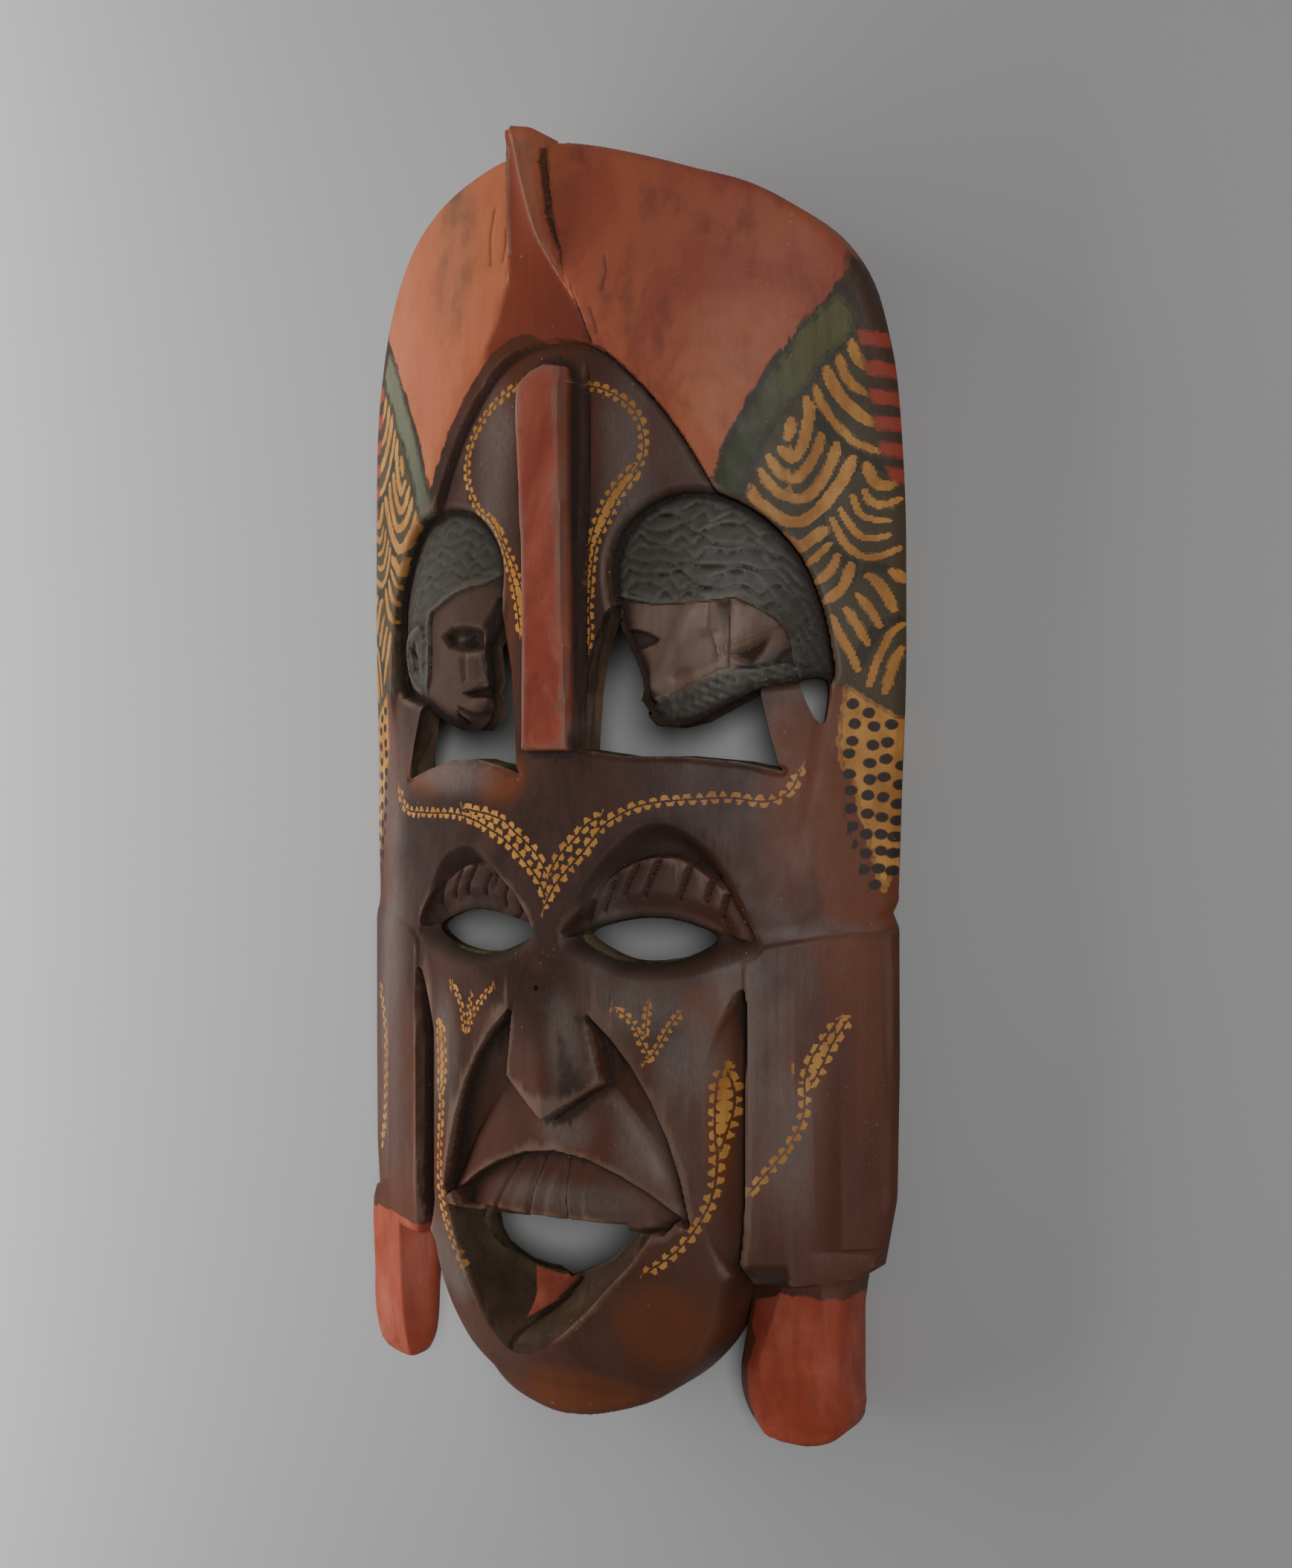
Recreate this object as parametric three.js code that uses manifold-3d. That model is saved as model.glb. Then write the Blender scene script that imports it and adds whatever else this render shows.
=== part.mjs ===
// A carved wooden wall mask: half a log, hollowed from behind, with a face, a crest, a raised bar down the
// forehead, two small heads in profile that stand free in pierced windows, and long ears with ear plugs.
// It lies on the rim of its hollow back: +X is the viewer's right, +Y the top of the mask, +Z towards the
// viewer. It is carved from one piece of wood, so it is one solid. Millimetres.
import * as THREE from "three";
import { mergeVertices } from "three/addons/utils/BufferGeometryUtils.js";
import Module from "manifold-3d";

// Driving dimensions of the log
const halfWidth = 122; // from the middle line to the side wall, at its widest
const rimHeight = 17; // height of the plain outer side wall
const rimLean = [0.935, 0.955]; // the wall leans in to this share of its width and length underneath
const rise = 54; // how far the middle line stands above the side walls
const sectionPower = 2; // roundness of the front, where 2 is a parabola
const wall = 17; // thickness of the shell, before the carving
const cornerFill = 10; // the hollow is rounded by this much where its ceiling meets the rim
const chinWall = 27; // and behind the mouth
const rim = 19; // from the side wall at its widest to the hollow
const archTop = 250; // top of the hair, from the middle of the plan
const chinBottom = -237.5; // bottom of the chin
const topSetBack = 12; // how far the front curves back at the top edge
const chinSetBack = 24; // and at the tip of the chin

// Driving dimensions of the carving
const hairStep = 4.5; // the hair stands this proud of the forehead
const panelStep = 2.5; // and the side panels this proud of the brow plate
const barRise = 11; // height of the forehead bar above the forehead
const crestRise = 12; // height of the crest at the top edge
const crestUnder = 45; // underside of its end, where it stands out past the top edge
const crestTop = 256; // its end, just past the top edge
const crestFoot = 171; // its lower end, at the hairline
const crestSplit = 198; // above this it stands up from the hair, and below it is a slanting cut into it
const headSink = 3; // the middle of a small head lies this far below the log front
const headRound = 7; // and its edge this much further
const faceSink = 1.8; // the face lies this far below the hair of its head
const earRoot = 36; // the ear of a small head starts inside the wood at this height
const socketDepth = 9; // eye sockets
const lidDepth = 5; // the brows' underside swells forward to this depth again
const cheekCut = 10; // the slanting cuts beside nose and muzzle
const lipDepth = 11; // under the edge of the upper lip
const mouthDepth = 17; // the open lower mouth
const grooveDepth = 12; // between cheek and ear
const earStep = 1.5; // the ears stand proud of the temples
const plugFront = 37; // top face of the ear plugs
const plugBack = 9; // and the right one's underside
const leftPlugBack = 22; // the left one is thinner
const plugInnerSlope = 0.75; // fall of their inner facets
const plugTip = 7; // and of their tips

const clamp = THREE.MathUtils.clamp;
const smooth = THREE.MathUtils.smoothstep;
const lerp = THREE.MathUtils.lerp;
const above = halfWidth; // higher than every surface, where a cutting column ends
const below = -halfWidth;

const wasm = await Module();
wasm.setup();

function solidOf(geometry) {
  const bare = geometry.clone();
  bare.deleteAttribute("normal");
  bare.deleteAttribute("uv");
  const merged = mergeVertices(bare, 1e-4);
  const vertProperties = merged.getAttribute("position").array;
  return new wasm.Manifold(new wasm.Mesh({ numProp: 3, vertProperties, triVerts: merged.index.array }));
}

// Plan outlines are lists of corners for the viewer's right, and side -1 mirrors them
function plan(corners, side = 1) {
  return corners.map(([x, y]) => new THREE.Vector2(side * x, y));
}

function mirrored(corners) {
  return corners.map(([x, y]) => [-x, y]).reverse();
}

// A closed smooth outline through a few corners
function rounded(corners, side = 1, steps = 2) {
  const through = corners.map(([x, y]) => new THREE.Vector3(side * x, y, 0));
  const curve = new THREE.CatmullRomCurve3(through, true, "centripetal");
  return curve.getPoints(corners.length * steps).slice(1).map((p) => new THREE.Vector2(p.x, p.y));
}

function column(outline, from = below, to = above) {
  const shape = new THREE.Shape(outline);
  const body = new THREE.ExtrudeGeometry(shape, { depth: to - from, bevelEnabled: false });
  return solidOf(body.translate(0, 0, from));
}

// Moves a body sideways and upward by shares of the height over a level
function slanted(body, level, share, rise = 0) {
  const slant = new THREE.Matrix4().makeShear(0, 0, 0, 0, share, rise);
  return body.translate(0, 0, -level).transform(slant.toArray()).translate(0, 0, level);
}

// A block over an outline's box, whose top is the carved surface height(x, y), in steps of about a cell
function relief(outline, height, cell, stretch = 1) {
  const box = new THREE.Box2().setFromPoints(outline).expandByScalar(1.5);
  const size = box.getSize(new THREE.Vector2());
  const middle = box.getCenter(new THREE.Vector2());
  const columns = Math.ceil(size.x / cell);
  const rows = Math.ceil(size.y / (cell * stretch));
  const block = new THREE.BoxGeometry(size.x, size.y, 2, columns, rows, 1).translate(middle.x, middle.y, 0);
  const place = block.getAttribute("position");
  for (let i = 0; i < place.count; i++) {
    place.setZ(i, place.getZ(i) > 0 ? height(place.getX(i), place.getY(i)) : below);
  }
  return solidOf(block);
}

// Cuts the wood inside an outline down to a surface
function lower(wood, outline, height, cell) {
  return wood.subtract(column(outline).subtract(relief(outline, height, cell)));
}

// Leaves the wood inside an outline standing up to a surface
function raise(wood, outline, height, cell, bottom = 0) {
  return wood.add(column(outline, bottom).intersect(relief(outline, height, cell)));
}

// Shortest distance from a place in the plan to a line of corners
function distance(line, x, y, closed = false) {
  let best = Infinity;
  for (let i = closed ? 0 : 1; i < line.length; i++) {
    const a = line[(i + line.length - 1) % line.length];
    const b = line[i];
    const run = (b.x - a.x) ** 2 + (b.y - a.y) ** 2;
    const t = clamp(((x - a.x) * (b.x - a.x) + (y - a.y) * (b.y - a.y)) / run, 0, 1);
    best = Math.min(best, Math.hypot(x - lerp(a.x, b.x, t), y - lerp(a.y, b.y, t)));
  }
  return best;
}

// Height of the plain log front over a place in the plan
function log(x, y) {
  const across = Math.pow(Math.min(Math.abs(x) / halfWidth, 1), sectionPower);
  const middle = 1 - smooth(Math.abs(x), 66, 80);
  const chin = chinSetBack * middle * Math.pow(clamp((-150 - y) / 77, 0, 1), 2);
  const top = topSetBack * (1 - across) * Math.pow(clamp((y - 140) / 107, 0, 1), 2);
  return rimHeight + rise * (1 - across) - chin - top;
}

// The outline of the whole mask without its ear plugs, clockwise from the top
const rightArch = [
  [9.5, 247.5], [32.5, 240.5], [53, 233.5], [71, 227.5], [86.5, 218.5], [99.5, 207], [109.5, 191.5],
  [115.5, 171.5], [119, 151], [121.5, 115], [halfWidth, 85], [halfWidth, 45], [120.5, 5], [119.2, -36],
];
const leftArch = [
  [24, 248.5], [38, 246], [63, 237.5], [86, 222], [103, 200], [113.5, 175], [119.5, 152], [halfWidth, 112],
  [halfWidth, 60], [120.5, 36], [118.3, 15], [118, -14], [116.8, -34],
];
const earEdge = [[116.8, -41], [119.5, -47], [119.8, -100], [119, -146], [114.5, -170]];
const earFoot = [[107, -175], [90, -177], [75, -176], [71, -170], [66, -177]];
const rightChin = [[60.5, -195], [49.5, -212], [32, -226.5], [8, -235.5]];
const leftChin = [[65, -192], [61, -208], [54, -221.5], [38, -232.5], [19, -237]];
const rightSide = [...rightArch, ...earEdge, ...earFoot, ...rightChin];
const leftSide = [...leftArch, ...earEdge, ...earFoot, ...leftChin];
const maskOutline = plan([
  [-8, chinBottom], ...[...rightSide].reverse(), [-8, archTop], ...mirrored(leftSide).reverse(),
]);

// The wall below the front, which leans in towards the rim underneath
function leaningWall(outline) {
  const shape = new THREE.Shape(outline);
  const body = new THREE.ExtrudeGeometry(shape, { depth: rimHeight, bevelEnabled: false });
  const place = body.getAttribute("position");
  for (let i = 0; i < place.count; i++) {
    if (place.getZ(i) > rimHeight / 2) continue;
    place.setXY(i, place.getX(i) * rimLean[0], place.getY(i) * rimLean[1]);
  }
  return solidOf(body);
}

// The hollow behind, inside a rim
const innerArch = [[28, 222], [58, 211], [80, 198], [93.5, 180], [101.5, 152]];
const innerFoot = [
  [halfWidth - rim, 120], [halfWidth - rim, -160], [66, -160], [50, -180], [38, -195], [18, -205],
];
const rightHollow = [...innerArch, ...innerFoot];
const hollowOutline = plan([...[...rightHollow].reverse(), ...mirrored(rightHollow).reverse()]);

function ceiling(x, y) {
  const thick = lerp(wall, chinWall, smooth(-y, 105, 160) * (1 - smooth(Math.abs(x), 50, 75)));
  const rounding = cornerFill * (1 - smooth(distance(hollowOutline, x, y, true), 0, 24));
  return Math.max(log(x, y) - thick - rounding, 3);
}

// Forehead and brow plate, with the side panels outside them
const hairline = [[14, 171], [24, 166], [33, 158], [44, 145.5], [54, 130.5], [63, 114]];
const panelEdge = [[80, 101], [93, 82], [99, 60], [100, 40], [98, 15], [94, -10], [95, -38], [88, -50]];
const foreheadSide = [...hairline, ...panelEdge];
const foreheadOutline = plan([
  ...[...foreheadSide].reverse(), [0, 173], ...mirrored(foreheadSide).reverse(),
]);

function forehead(x, y) {
  const top = lerp(panelStep, hairStep, smooth(y, 20, 90));
  return log(x, y) - (y > 20 ? top : panelStep * smooth(y, -52, 20));
}

// The crest at a few places up its length: y, its left edge, its ridge, its right edge, and their height
// over the hair
const crestLevels = [
  [crestFoot, -31, 16.5, 17, 0, -3.5, -3.5],
  [182, -24.5, 12.7, 13.2, 0, -3, -3],
  [191, -22, 7.4, 8, 0, -1.5, -1.5],
  [201, -19.2, 1.4, 4, 1.5, 1.5, 0.9],
  [210, -18.7, -2.7, 1.2, 4, 6, 3],
  [227, -19.4, -7.5, -4, 7, 9, 5],
  [252, -21.3, -16.3, -10, 9, crestRise, 6],
  [crestTop, -21.3, -17, -10, 9, crestRise, 6],
];

function crestLevel(y) {
  const next = clamp(crestLevels.findLastIndex((level) => y >= level[0]) + 1, 1, crestLevels.length - 1);
  const [low, high] = [crestLevels[next - 1], crestLevels[next]];
  const share = clamp((y - low[0]) / (high[0] - low[0]), 0, 1);
  return low.map((value, k) => lerp(value, high[k], share));
}

function crestOutline(from, to) {
  const between = crestLevels.map((level) => level[0]).filter((y) => y > from && y < to);
  const levels = [from, ...between, to].map((y) => [y, ...crestLevel(y).slice(1)]);
  const edge = (side) => levels.map((level) => [level[side], level[0]]);
  return plan([...edge(3), ...edge(1).reverse()]);
}

function crest(x, y) {
  const [, left, ridge, right, atLeft, atRidge, atRight] = crestLevel(y);
  const over = x < ridge
    ? lerp(atLeft, atRidge, clamp((x - left) / (ridge - left), 0, 1))
    : lerp(atRidge, atRight, clamp((x - ridge) / (right - ridge), 0, 1));
  return log(x, y) + over;
}

const barOutline = plan([
  [12.5, 19.5], [11, 60], [10.5, 157], [8, 163], [-7, 163], [-11, 157], [-8.5, 100], [-9.5, 19.5],
]);

function bar(x, y) {
  return log(0, Math.min(y, 140)) - hairStep + barRise * lerp(0.8, 1, smooth(y, 20, 160)) - 0.02 * x * x;
}

// The small heads, each a back of the skull and a profile, and the part of it that isn't hair
const smallHeads = [
  {
    side: 1,
    skull: [
      [92, 45], [100, 46], [99, 58], [96.5, 72], [90, 90], [79, 104], [65, 112.5], [50, 114.5], [36, 109.5],
      [27, 101], [23, 89], [24, 76],
    ],
    profile: [
      [27, 65], [29, 59.5], [32.5, 54], [35.5, 46.5], [36, 42], [34.5, 38], [37, 35], [38, 31.5], [41, 28.5],
      [47, 28], [55, 30], [65, 36], [77, 43],
    ],
    middle: [62, 74],
    face: [
      [67.5, 75], [55, 73.6], [40, 73.4], [20, 75.2], [20, 50], [40, 20], [60, 20], [86, 40], [86, 52],
      [85.5, 63], [79, 70.5],
    ],
    ear: [77, 57],
    window: [
      [84, 12], [81, 24], [78.5, 35], "profile", [25, 74], [22, 70], [17.5, 56], [14.5, 40], [13, 20],
      [30, 17.5], [50, 17.5], [70, 15.5],
    ],
  },
  {
    side: -1,
    skull: [
      [92, 42], [98, 48], [98, 62], [96, 78], [89, 92], [79, 107], [67, 113.5], [54, 115], [41, 112],
      [31, 104], [25, 93], [25, 80],
    ],
    profile: [
      [25, 74], [28.5, 67], [33.5, 60], [32.5, 54], [31.5, 47], [33.5, 42], [30.5, 38.5], [31.5, 34],
      [34.5, 30], [39, 27.5], [48, 27.5], [60, 31], [74, 38],
    ],
    middle: [61, 72],
    face: [
      [68.5, 73.5], [61, 77], [52, 80.8], [35, 84], [20, 86], [20, 50], [30, 20], [60, 20], [76, 34],
      [71, 50],
    ],
    ear: [74, 57],
    window: [
      [85, 8], [80, 23], [76, 33], "profile", [23.5, 73], [21, 62], [18, 50], [16, 30], [15, 11], [25, 14],
      [38, 16.5], [52, 16], [70, 12],
    ],
  },
];
// The hole behind the right head's nape, cut aslant: its outline is that at the level of the wood's face
const napeHole = plan([[88, 44], [92, 36.8], [97.6, 30], [99.4, 32], [99.5, 44.5]]);
const napeLevel = 36;
const napeSlant = 0.5;

function headSurface(head, sink) {
  return (x, y) => {
    const across = (head.side * x - head.middle[0]) / 40;
    const along = (y - head.middle[1]) / 47;
    return log(x, y) - headSink - headRound * Math.pow(Math.min(Math.hypot(across, along), 1), 2.5) - sink;
  };
}

function windowOutline(head) {
  const edge = head.window.flatMap((p) => (p === "profile" ? [...head.profile].reverse() : [p]));
  return plan(edge, head.side);
}

// Counter-clockwise eye outlines for the right, mirrored for the left
const eyeSlot = [
  [12, -49.5], [26, -57], [38, -58.5], [52, -56], [60.5, -49.5], [50, -44], [38, -42.5], [24, -44.5],
];
const eyes = [
  {
    side: 1,
    socket: [
      [4, -51], [18, -61], [38, -66], [60, -62.5], [79, -54], [75, -38], [65, -16], [48, -4], [33, -7],
      [17, -24],
    ],
    lid: [[9, -50.5], [38, -42], [73, -51], [66, -35], [54, -22], [42, -19.5], [28, -27]],
  },
  {
    side: -1,
    socket: [
      [4, -51], [18, -61], [38, -65], [58, -61.5], [74, -54], [70, -43], [59, -22], [43, -14], [30, -18],
      [14, -34],
    ],
    lid: [[9, -50.5], [38, -42], [68, -51], [62, -38], [52, -28], [41, -24.5], [26, -30]],
  },
];

function bowl(outline, depth, reach) {
  return (x, y) => log(x, y) - depth * smooth(distance(outline, x, y, true), 0, reach);
}

function lid(x, y) {
  return log(x, y) - lidDepth - 3 * smooth(y, -34, -46);
}

// Cheek, nose and muzzle: the cheek's edge, and the sharp line at the bottom of the cut beside it
const cheekEdge = [[17.5, -79], [26, -87], [34, -97], [41, -109], [47, -123], [51.5, -138], [54.5, -153]];
const cutLine = [[17.5, -79], [22, -104.5], [32, -117], [42, -130], [49, -143], [54.5, -153]];
const lipEdge = [[50, -153], [38, -144.5], [27, -138.5], [14, -133.5]];
const noseHalf = [[22, -104.5], [19.5, -92], [17, -79], [13, -68], [6, -57]];
const mouthCorner = [54.5, -155];
const muzzleOutline = plan([
  mouthCorner, ...[...cheekEdge].reverse(), ...mirrored([...cheekEdge].reverse()),
  ...mirrored([mouthCorner]),
  ...mirrored(lipEdge).reverse(), [0, -131.5], ...[...lipEdge].reverse(),
]);
const noseOutline = plan([[0, -119], ...noseHalf, ...mirrored(noseHalf)]);
const lipOutline = plan([...lipEdge, [0, -131.5], ...mirrored(lipEdge), [-46, -158], [0, -161], [46, -158]]);

function crossing(line, y) {
  const i = line.findIndex((corner, k) => k > 0 && y >= corner[1]);
  if (i < 0) return line[line.length - 1][0];
  const [ax, ay] = line[i - 1];
  const [bx, by] = line[i];
  return lerp(ax, bx, clamp((ay - y) / (ay - by), 0, 1));
}

function muzzle(x, y) {
  const side = Math.abs(x);
  const toEdge = distance(plan(cheekEdge), side, y);
  const toLine = distance(plan(cutLine), side, y);
  if (side > crossing(cutLine, y)) return log(x, y) - cheekCut * toEdge / Math.max(toEdge + toLine, 0.1);
  return log(x, y) - cheekCut + 5 * smooth(toLine, 0, 14);
}

function nose(x, y) {
  const down = smooth(-y, 57, 108);
  const flank = Math.max(Math.abs(x) - 6, 0);
  return log(x, y) + 3 * down - 0.3 * flank * down;
}

function lip(x, y) {
  const fromEdge = distance(plan([...lipEdge, [0, -131.5], ...mirrored(lipEdge)]), x, y);
  return log(x, y) - lipDepth + 6 * smooth(fromEdge, 0, 18);
}

const mouthOutline = rounded([
  [42.5, -157], [-51.5, -159], [-47.5, -176], [-43.5, -190], [-39, -204], [-30, -216], [-12, -211.5],
  [9, -194.5], [33, -170],
]);
const mouthOpening = plan([
  [30, -156.5], [-35, -157], [-38, -163], [-35, -170], [-29, -175.5], [-20, -179], [-12, -181],
  [-5, -182.5], [2, -181], [11, -176.5], [20.5, -171], [28, -164],
]);
// Below the lips the mouth is cut through aslant, towards the left cheek; this is the cut at the level
const throat = plan([
  [24, -163], [-38.5, -163], [-37, -169.5], [-33.5, -174.5], [-27, -178], [-21.5, -180.6], [-13.5, -181.8],
  [-6.3, -182], [-4.3, -184], [3.4, -180.6], [13.8, -174.8], [21.4, -167.2],
]);
const throatLevel = 46;
const throatSlant = 0.66;
const throatRise = 0.28;
// Wood left outside that cut, in the corner between the left ear and the chin
const cheekFoot = plan([
  [-52, -160], [-74, -160], [-74, -181], [-72, -189], [-66, -198], [-57, -206], [-48, -207],
]);
const footHeight = 12;
const footSlant = 0.6;
const tongueDepth = 13;
const tongueOutline = plan([[0.3, -179], [-1, -185], [-10.4, -193.8], [-21.9, -201.8], [-16, -178]]);

const grooveOutline = rounded([
  [73, -68], [61, -95], [58, -125], [61, -155], [69, -172], [73, -150], [73.5, -110],
]);

function groove(x, y) {
  return log(x, y) - grooveDepth * smooth(Math.abs(x), 57, 71);
}

const earOutline = [
  [halfWidth + 1, -46], [98, -48], [80, -52], [74, -56], [74, -171], [halfWidth + 1, -171],
];

function ear(x, y) {
  return log(x, y) + earStep * smooth(-y, 44, 52);
}

// The ear plugs hang below the ears: a flat face between slanting sides
const plugs = [
  {
    side: 1,
    outline: [
      [66, -165], [62.5, -190], [60.8, -206], [58.5, -221], [61, -229.5], [70, -236], [82, -237.5],
      [91, -237], [98.5, -234], [104, -227], [104.5, -214], [104.3, -190], [103, -165],
    ],
    innerFacet: [82, 71],
    outerFacet: [98, 101],
    outerSlope: 0.8,
    top: plugFront,
    under: plugBack,
  },
  {
    side: -1,
    outline: [
      [82, -163], [82.5, -203], [83.5, -219], [86, -227.5], [92, -232], [105, -232.5], [110.5, -230.5],
      [113, -224], [112, -200], [111, -163],
    ],
    innerFacet: [93, 92],
    outerFacet: [94, 93],
    outerSlope: 0.35,
    top: plugFront + 1,
    under: leftPlugBack,
  },
];

function plugSurface(plug) {
  return (x, y) => {
    const down = clamp((-178 - y) / 34, 0, 1);
    const out = plug.side * x;
    const inward = Math.max(lerp(...plug.innerFacet, down) - out, 0) * plugInnerSlope;
    const outward = Math.max(out - lerp(...plug.outerFacet, down), 0) * plug.outerSlope;
    return plug.top - inward - outward - plugTip * Math.pow(clamp((-200 - y) / 35, 0, 1), 2);
  };
}

function carveHead(wood, head) {
  wood = lower(wood, plan([...head.skull, ...head.profile], head.side), headSurface(head, 0), 8);
  wood = lower(wood, plan(head.face, head.side), headSurface(head, faceSink), 8);
  const [x, y] = head.ear;
  const shellEdge = [[x - 6, y + 4], [x - 2, y + 11], [x + 5, y + 9], [x + 5, y], [x - 1, y - 10]];
  const shell = rounded(shellEdge, head.side);
  wood = raise(wood, shell, headSurface(head, -0.8), 8, earRoot);
  return wood.subtract(column(windowOutline(head)));
}

function carveEye(wood, eye) {
  const socket = rounded(eye.socket, eye.side);
  wood = lower(wood, socket, bowl(socket, socketDepth, 12), 5);
  wood = raise(wood, rounded(eye.lid, eye.side), lid, 8);
  return wood.subtract(column(rounded(eyeSlot, eye.side)));
}

function carveMuzzle(wood) {
  wood = lower(wood, muzzleOutline, muzzle, 6);
  wood = lower(wood, lipOutline, lip, 7);
  wood = raise(wood, noseOutline, nose, 6);
  wood = lower(wood, mouthOutline, bowl(mouthOutline, mouthDepth, 22), 6);
  wood = wood.subtract(column(mouthOpening));
  return wood.subtract(slanted(column(throat), throatLevel, throatSlant, throatRise));
}

function carve() {
  const block = column(maskOutline, rimHeight).add(leaningWall(maskOutline));
  let wood = block.intersect(relief(maskOutline, log, 8.6, 2.5));
  wood = wood.add(slanted(column(cheekFoot, 0, footHeight), 0, footSlant));
  wood = raise(wood, crestOutline(crestSplit, crestTop), crest, 5, crestUnder);
  wood = lower(wood, crestOutline(crestFoot, crestSplit), crest, 5);
  wood = lower(wood, foreheadOutline, forehead, 10.4);
  wood = raise(wood, barOutline, bar, 22);
  for (const side of [1, -1]) {
    const raised = plan(earOutline, side);
    wood = wood.add(block.intersect(column(raised)).intersect(relief(raised, ear, 8)));
    wood = lower(wood, grooveOutline.map((p) => new THREE.Vector2(side * p.x, p.y)), groove, 7);
  }
  for (const eye of eyes) wood = carveEye(wood, eye);
  wood = carveMuzzle(wood);
  wood = wood.subtract(column(hollowOutline).intersect(relief(hollowOutline, ceiling, 11, 1.5)));
  for (const head of smallHeads) wood = carveHead(wood, head);
  wood = wood.subtract(slanted(column(napeHole), napeLevel, napeSlant));
  wood = raise(wood, tongueOutline, (x, y) => log(x, y) - tongueDepth + 0.2 * (y + 182), 10, 30);
  for (const plug of plugs) {
    wood = raise(wood, plan(plug.outline, plug.side), plugSurface(plug), 8, plug.under);
  }
  return wood;
}

// The finished solid, moved so that the middle of its rim is the origin
function meshOf(wood) {
  const { vertProperties, triVerts } = wood.getMesh();
  const geometry = new THREE.BufferGeometry();
  geometry.setAttribute("position", new THREE.BufferAttribute(new Float32Array(vertProperties), 3));
  geometry.setIndex(new THREE.BufferAttribute(new Uint32Array(triVerts), 1));
  geometry.computeBoundingBox();
  const middle = geometry.boundingBox.getCenter(new THREE.Vector3());
  return geometry.translate(-middle.x, -middle.y, 0);
}

const stainedWood = new THREE.MeshStandardMaterial({ color: 0x4a2a22, roughness: 0.55, metalness: 0 });
const mask = new THREE.Mesh(meshOf(carve()), stainedWood);
mask.name = "mask";

const group = new THREE.Group();
group.add(mask);
export default group;
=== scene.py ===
import math
import bpy
import numpy as np
from mathutils import Matrix, Vector


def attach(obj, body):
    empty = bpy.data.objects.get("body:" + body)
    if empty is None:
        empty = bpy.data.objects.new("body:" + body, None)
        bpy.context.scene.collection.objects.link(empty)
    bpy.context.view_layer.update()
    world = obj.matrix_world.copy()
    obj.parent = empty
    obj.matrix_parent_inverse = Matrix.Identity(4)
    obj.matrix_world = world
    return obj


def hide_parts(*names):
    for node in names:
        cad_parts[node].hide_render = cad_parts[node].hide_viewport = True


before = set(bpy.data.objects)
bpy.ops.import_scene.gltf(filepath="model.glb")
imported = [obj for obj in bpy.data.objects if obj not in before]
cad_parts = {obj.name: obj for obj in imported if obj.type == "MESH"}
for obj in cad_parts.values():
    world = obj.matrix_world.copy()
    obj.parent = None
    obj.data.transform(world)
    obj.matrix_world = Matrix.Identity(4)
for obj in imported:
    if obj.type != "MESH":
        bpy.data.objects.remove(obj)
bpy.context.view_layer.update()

mm = 0.001

# Camera, level with the middle of the mask and well to its right, the top of the mask up in the picture

shot = dict(place=(0.387, 0.00775, 0.666), turn=30.0, rise=0.8, lens=43.57)


def addCamera():
    turn, rise = math.radians(shot["turn"]), math.radians(shot["rise"])
    right = Vector((math.cos(turn), 0, -math.sin(turn)))
    look = -Vector((math.sin(turn) * math.cos(rise), math.sin(rise), math.cos(turn) * math.cos(rise)))
    up = right.cross(look)
    bpy.ops.object.camera_add()
    camera = bpy.context.object
    camera.name = "camera"
    turned = Matrix((right, up, -look)).transposed().to_4x4()
    camera.matrix_world = Matrix.Translation(shot["place"]) @ turned
    camera.data.lens = shot["lens"]
    camera.data.sensor_width = 36
    bpy.context.scene.camera = camera


addCamera()
print("camera done")

# Numbers in the carver's plan, in millimetres: x to the right of the middle line and y up. Corners are
# those of the viewer's right, and side -1 mirrors them to the left.

planMiddle = 9.25  # y of the frame's origin in this plan


def between(value, low, high):
    part = np.clip((value - low) / (high - low), 0, 1)
    return part * part * (3 - 2 * part)


def mix(first, second, share):
    return first + (second - first) * share


def onSide(corners, side=1):
    return [(side * x, y) for x, y in corners]


def mirrored(corners):
    return [(-x, y) for x, y in reversed(corners)]


def curved(corners, steps=6, closed=False):
    pts = np.array(corners, float)
    n = len(pts)
    out = []
    for i in range(n if closed else n - 1):
        if closed:
            a, b, c, d = pts[i - 1], pts[i], pts[(i + 1) % n], pts[(i + 2) % n]
        else:
            a, b, c, d = pts[max(i - 1, 0)], pts[i], pts[i + 1], pts[min(i + 2, n - 1)]
        for k in range(steps):
            t = k / steps
            out.append(0.5 * (2 * b + (c - a) * t + (2 * a - 5 * b + 4 * c - d) * t * t
                              + (3 * b - a - 3 * c + d) * t ** 3))
    if not closed:
        out.append(pts[-1])
    return [tuple(p) for p in out]


def nearBox(corners, x, y, reach):
    pts = np.array(corners)
    low, high = pts.min(axis=0) - reach, pts.max(axis=0) + reach
    return (x > low[0]) & (x < high[0]) & (y > low[1]) & (y < high[1])


def spread(shape, near, values, outside):  # where the last one is a whole number, so are all the values
    whole = np.full(shape, outside)
    whole[near] = values
    return whole


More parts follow.
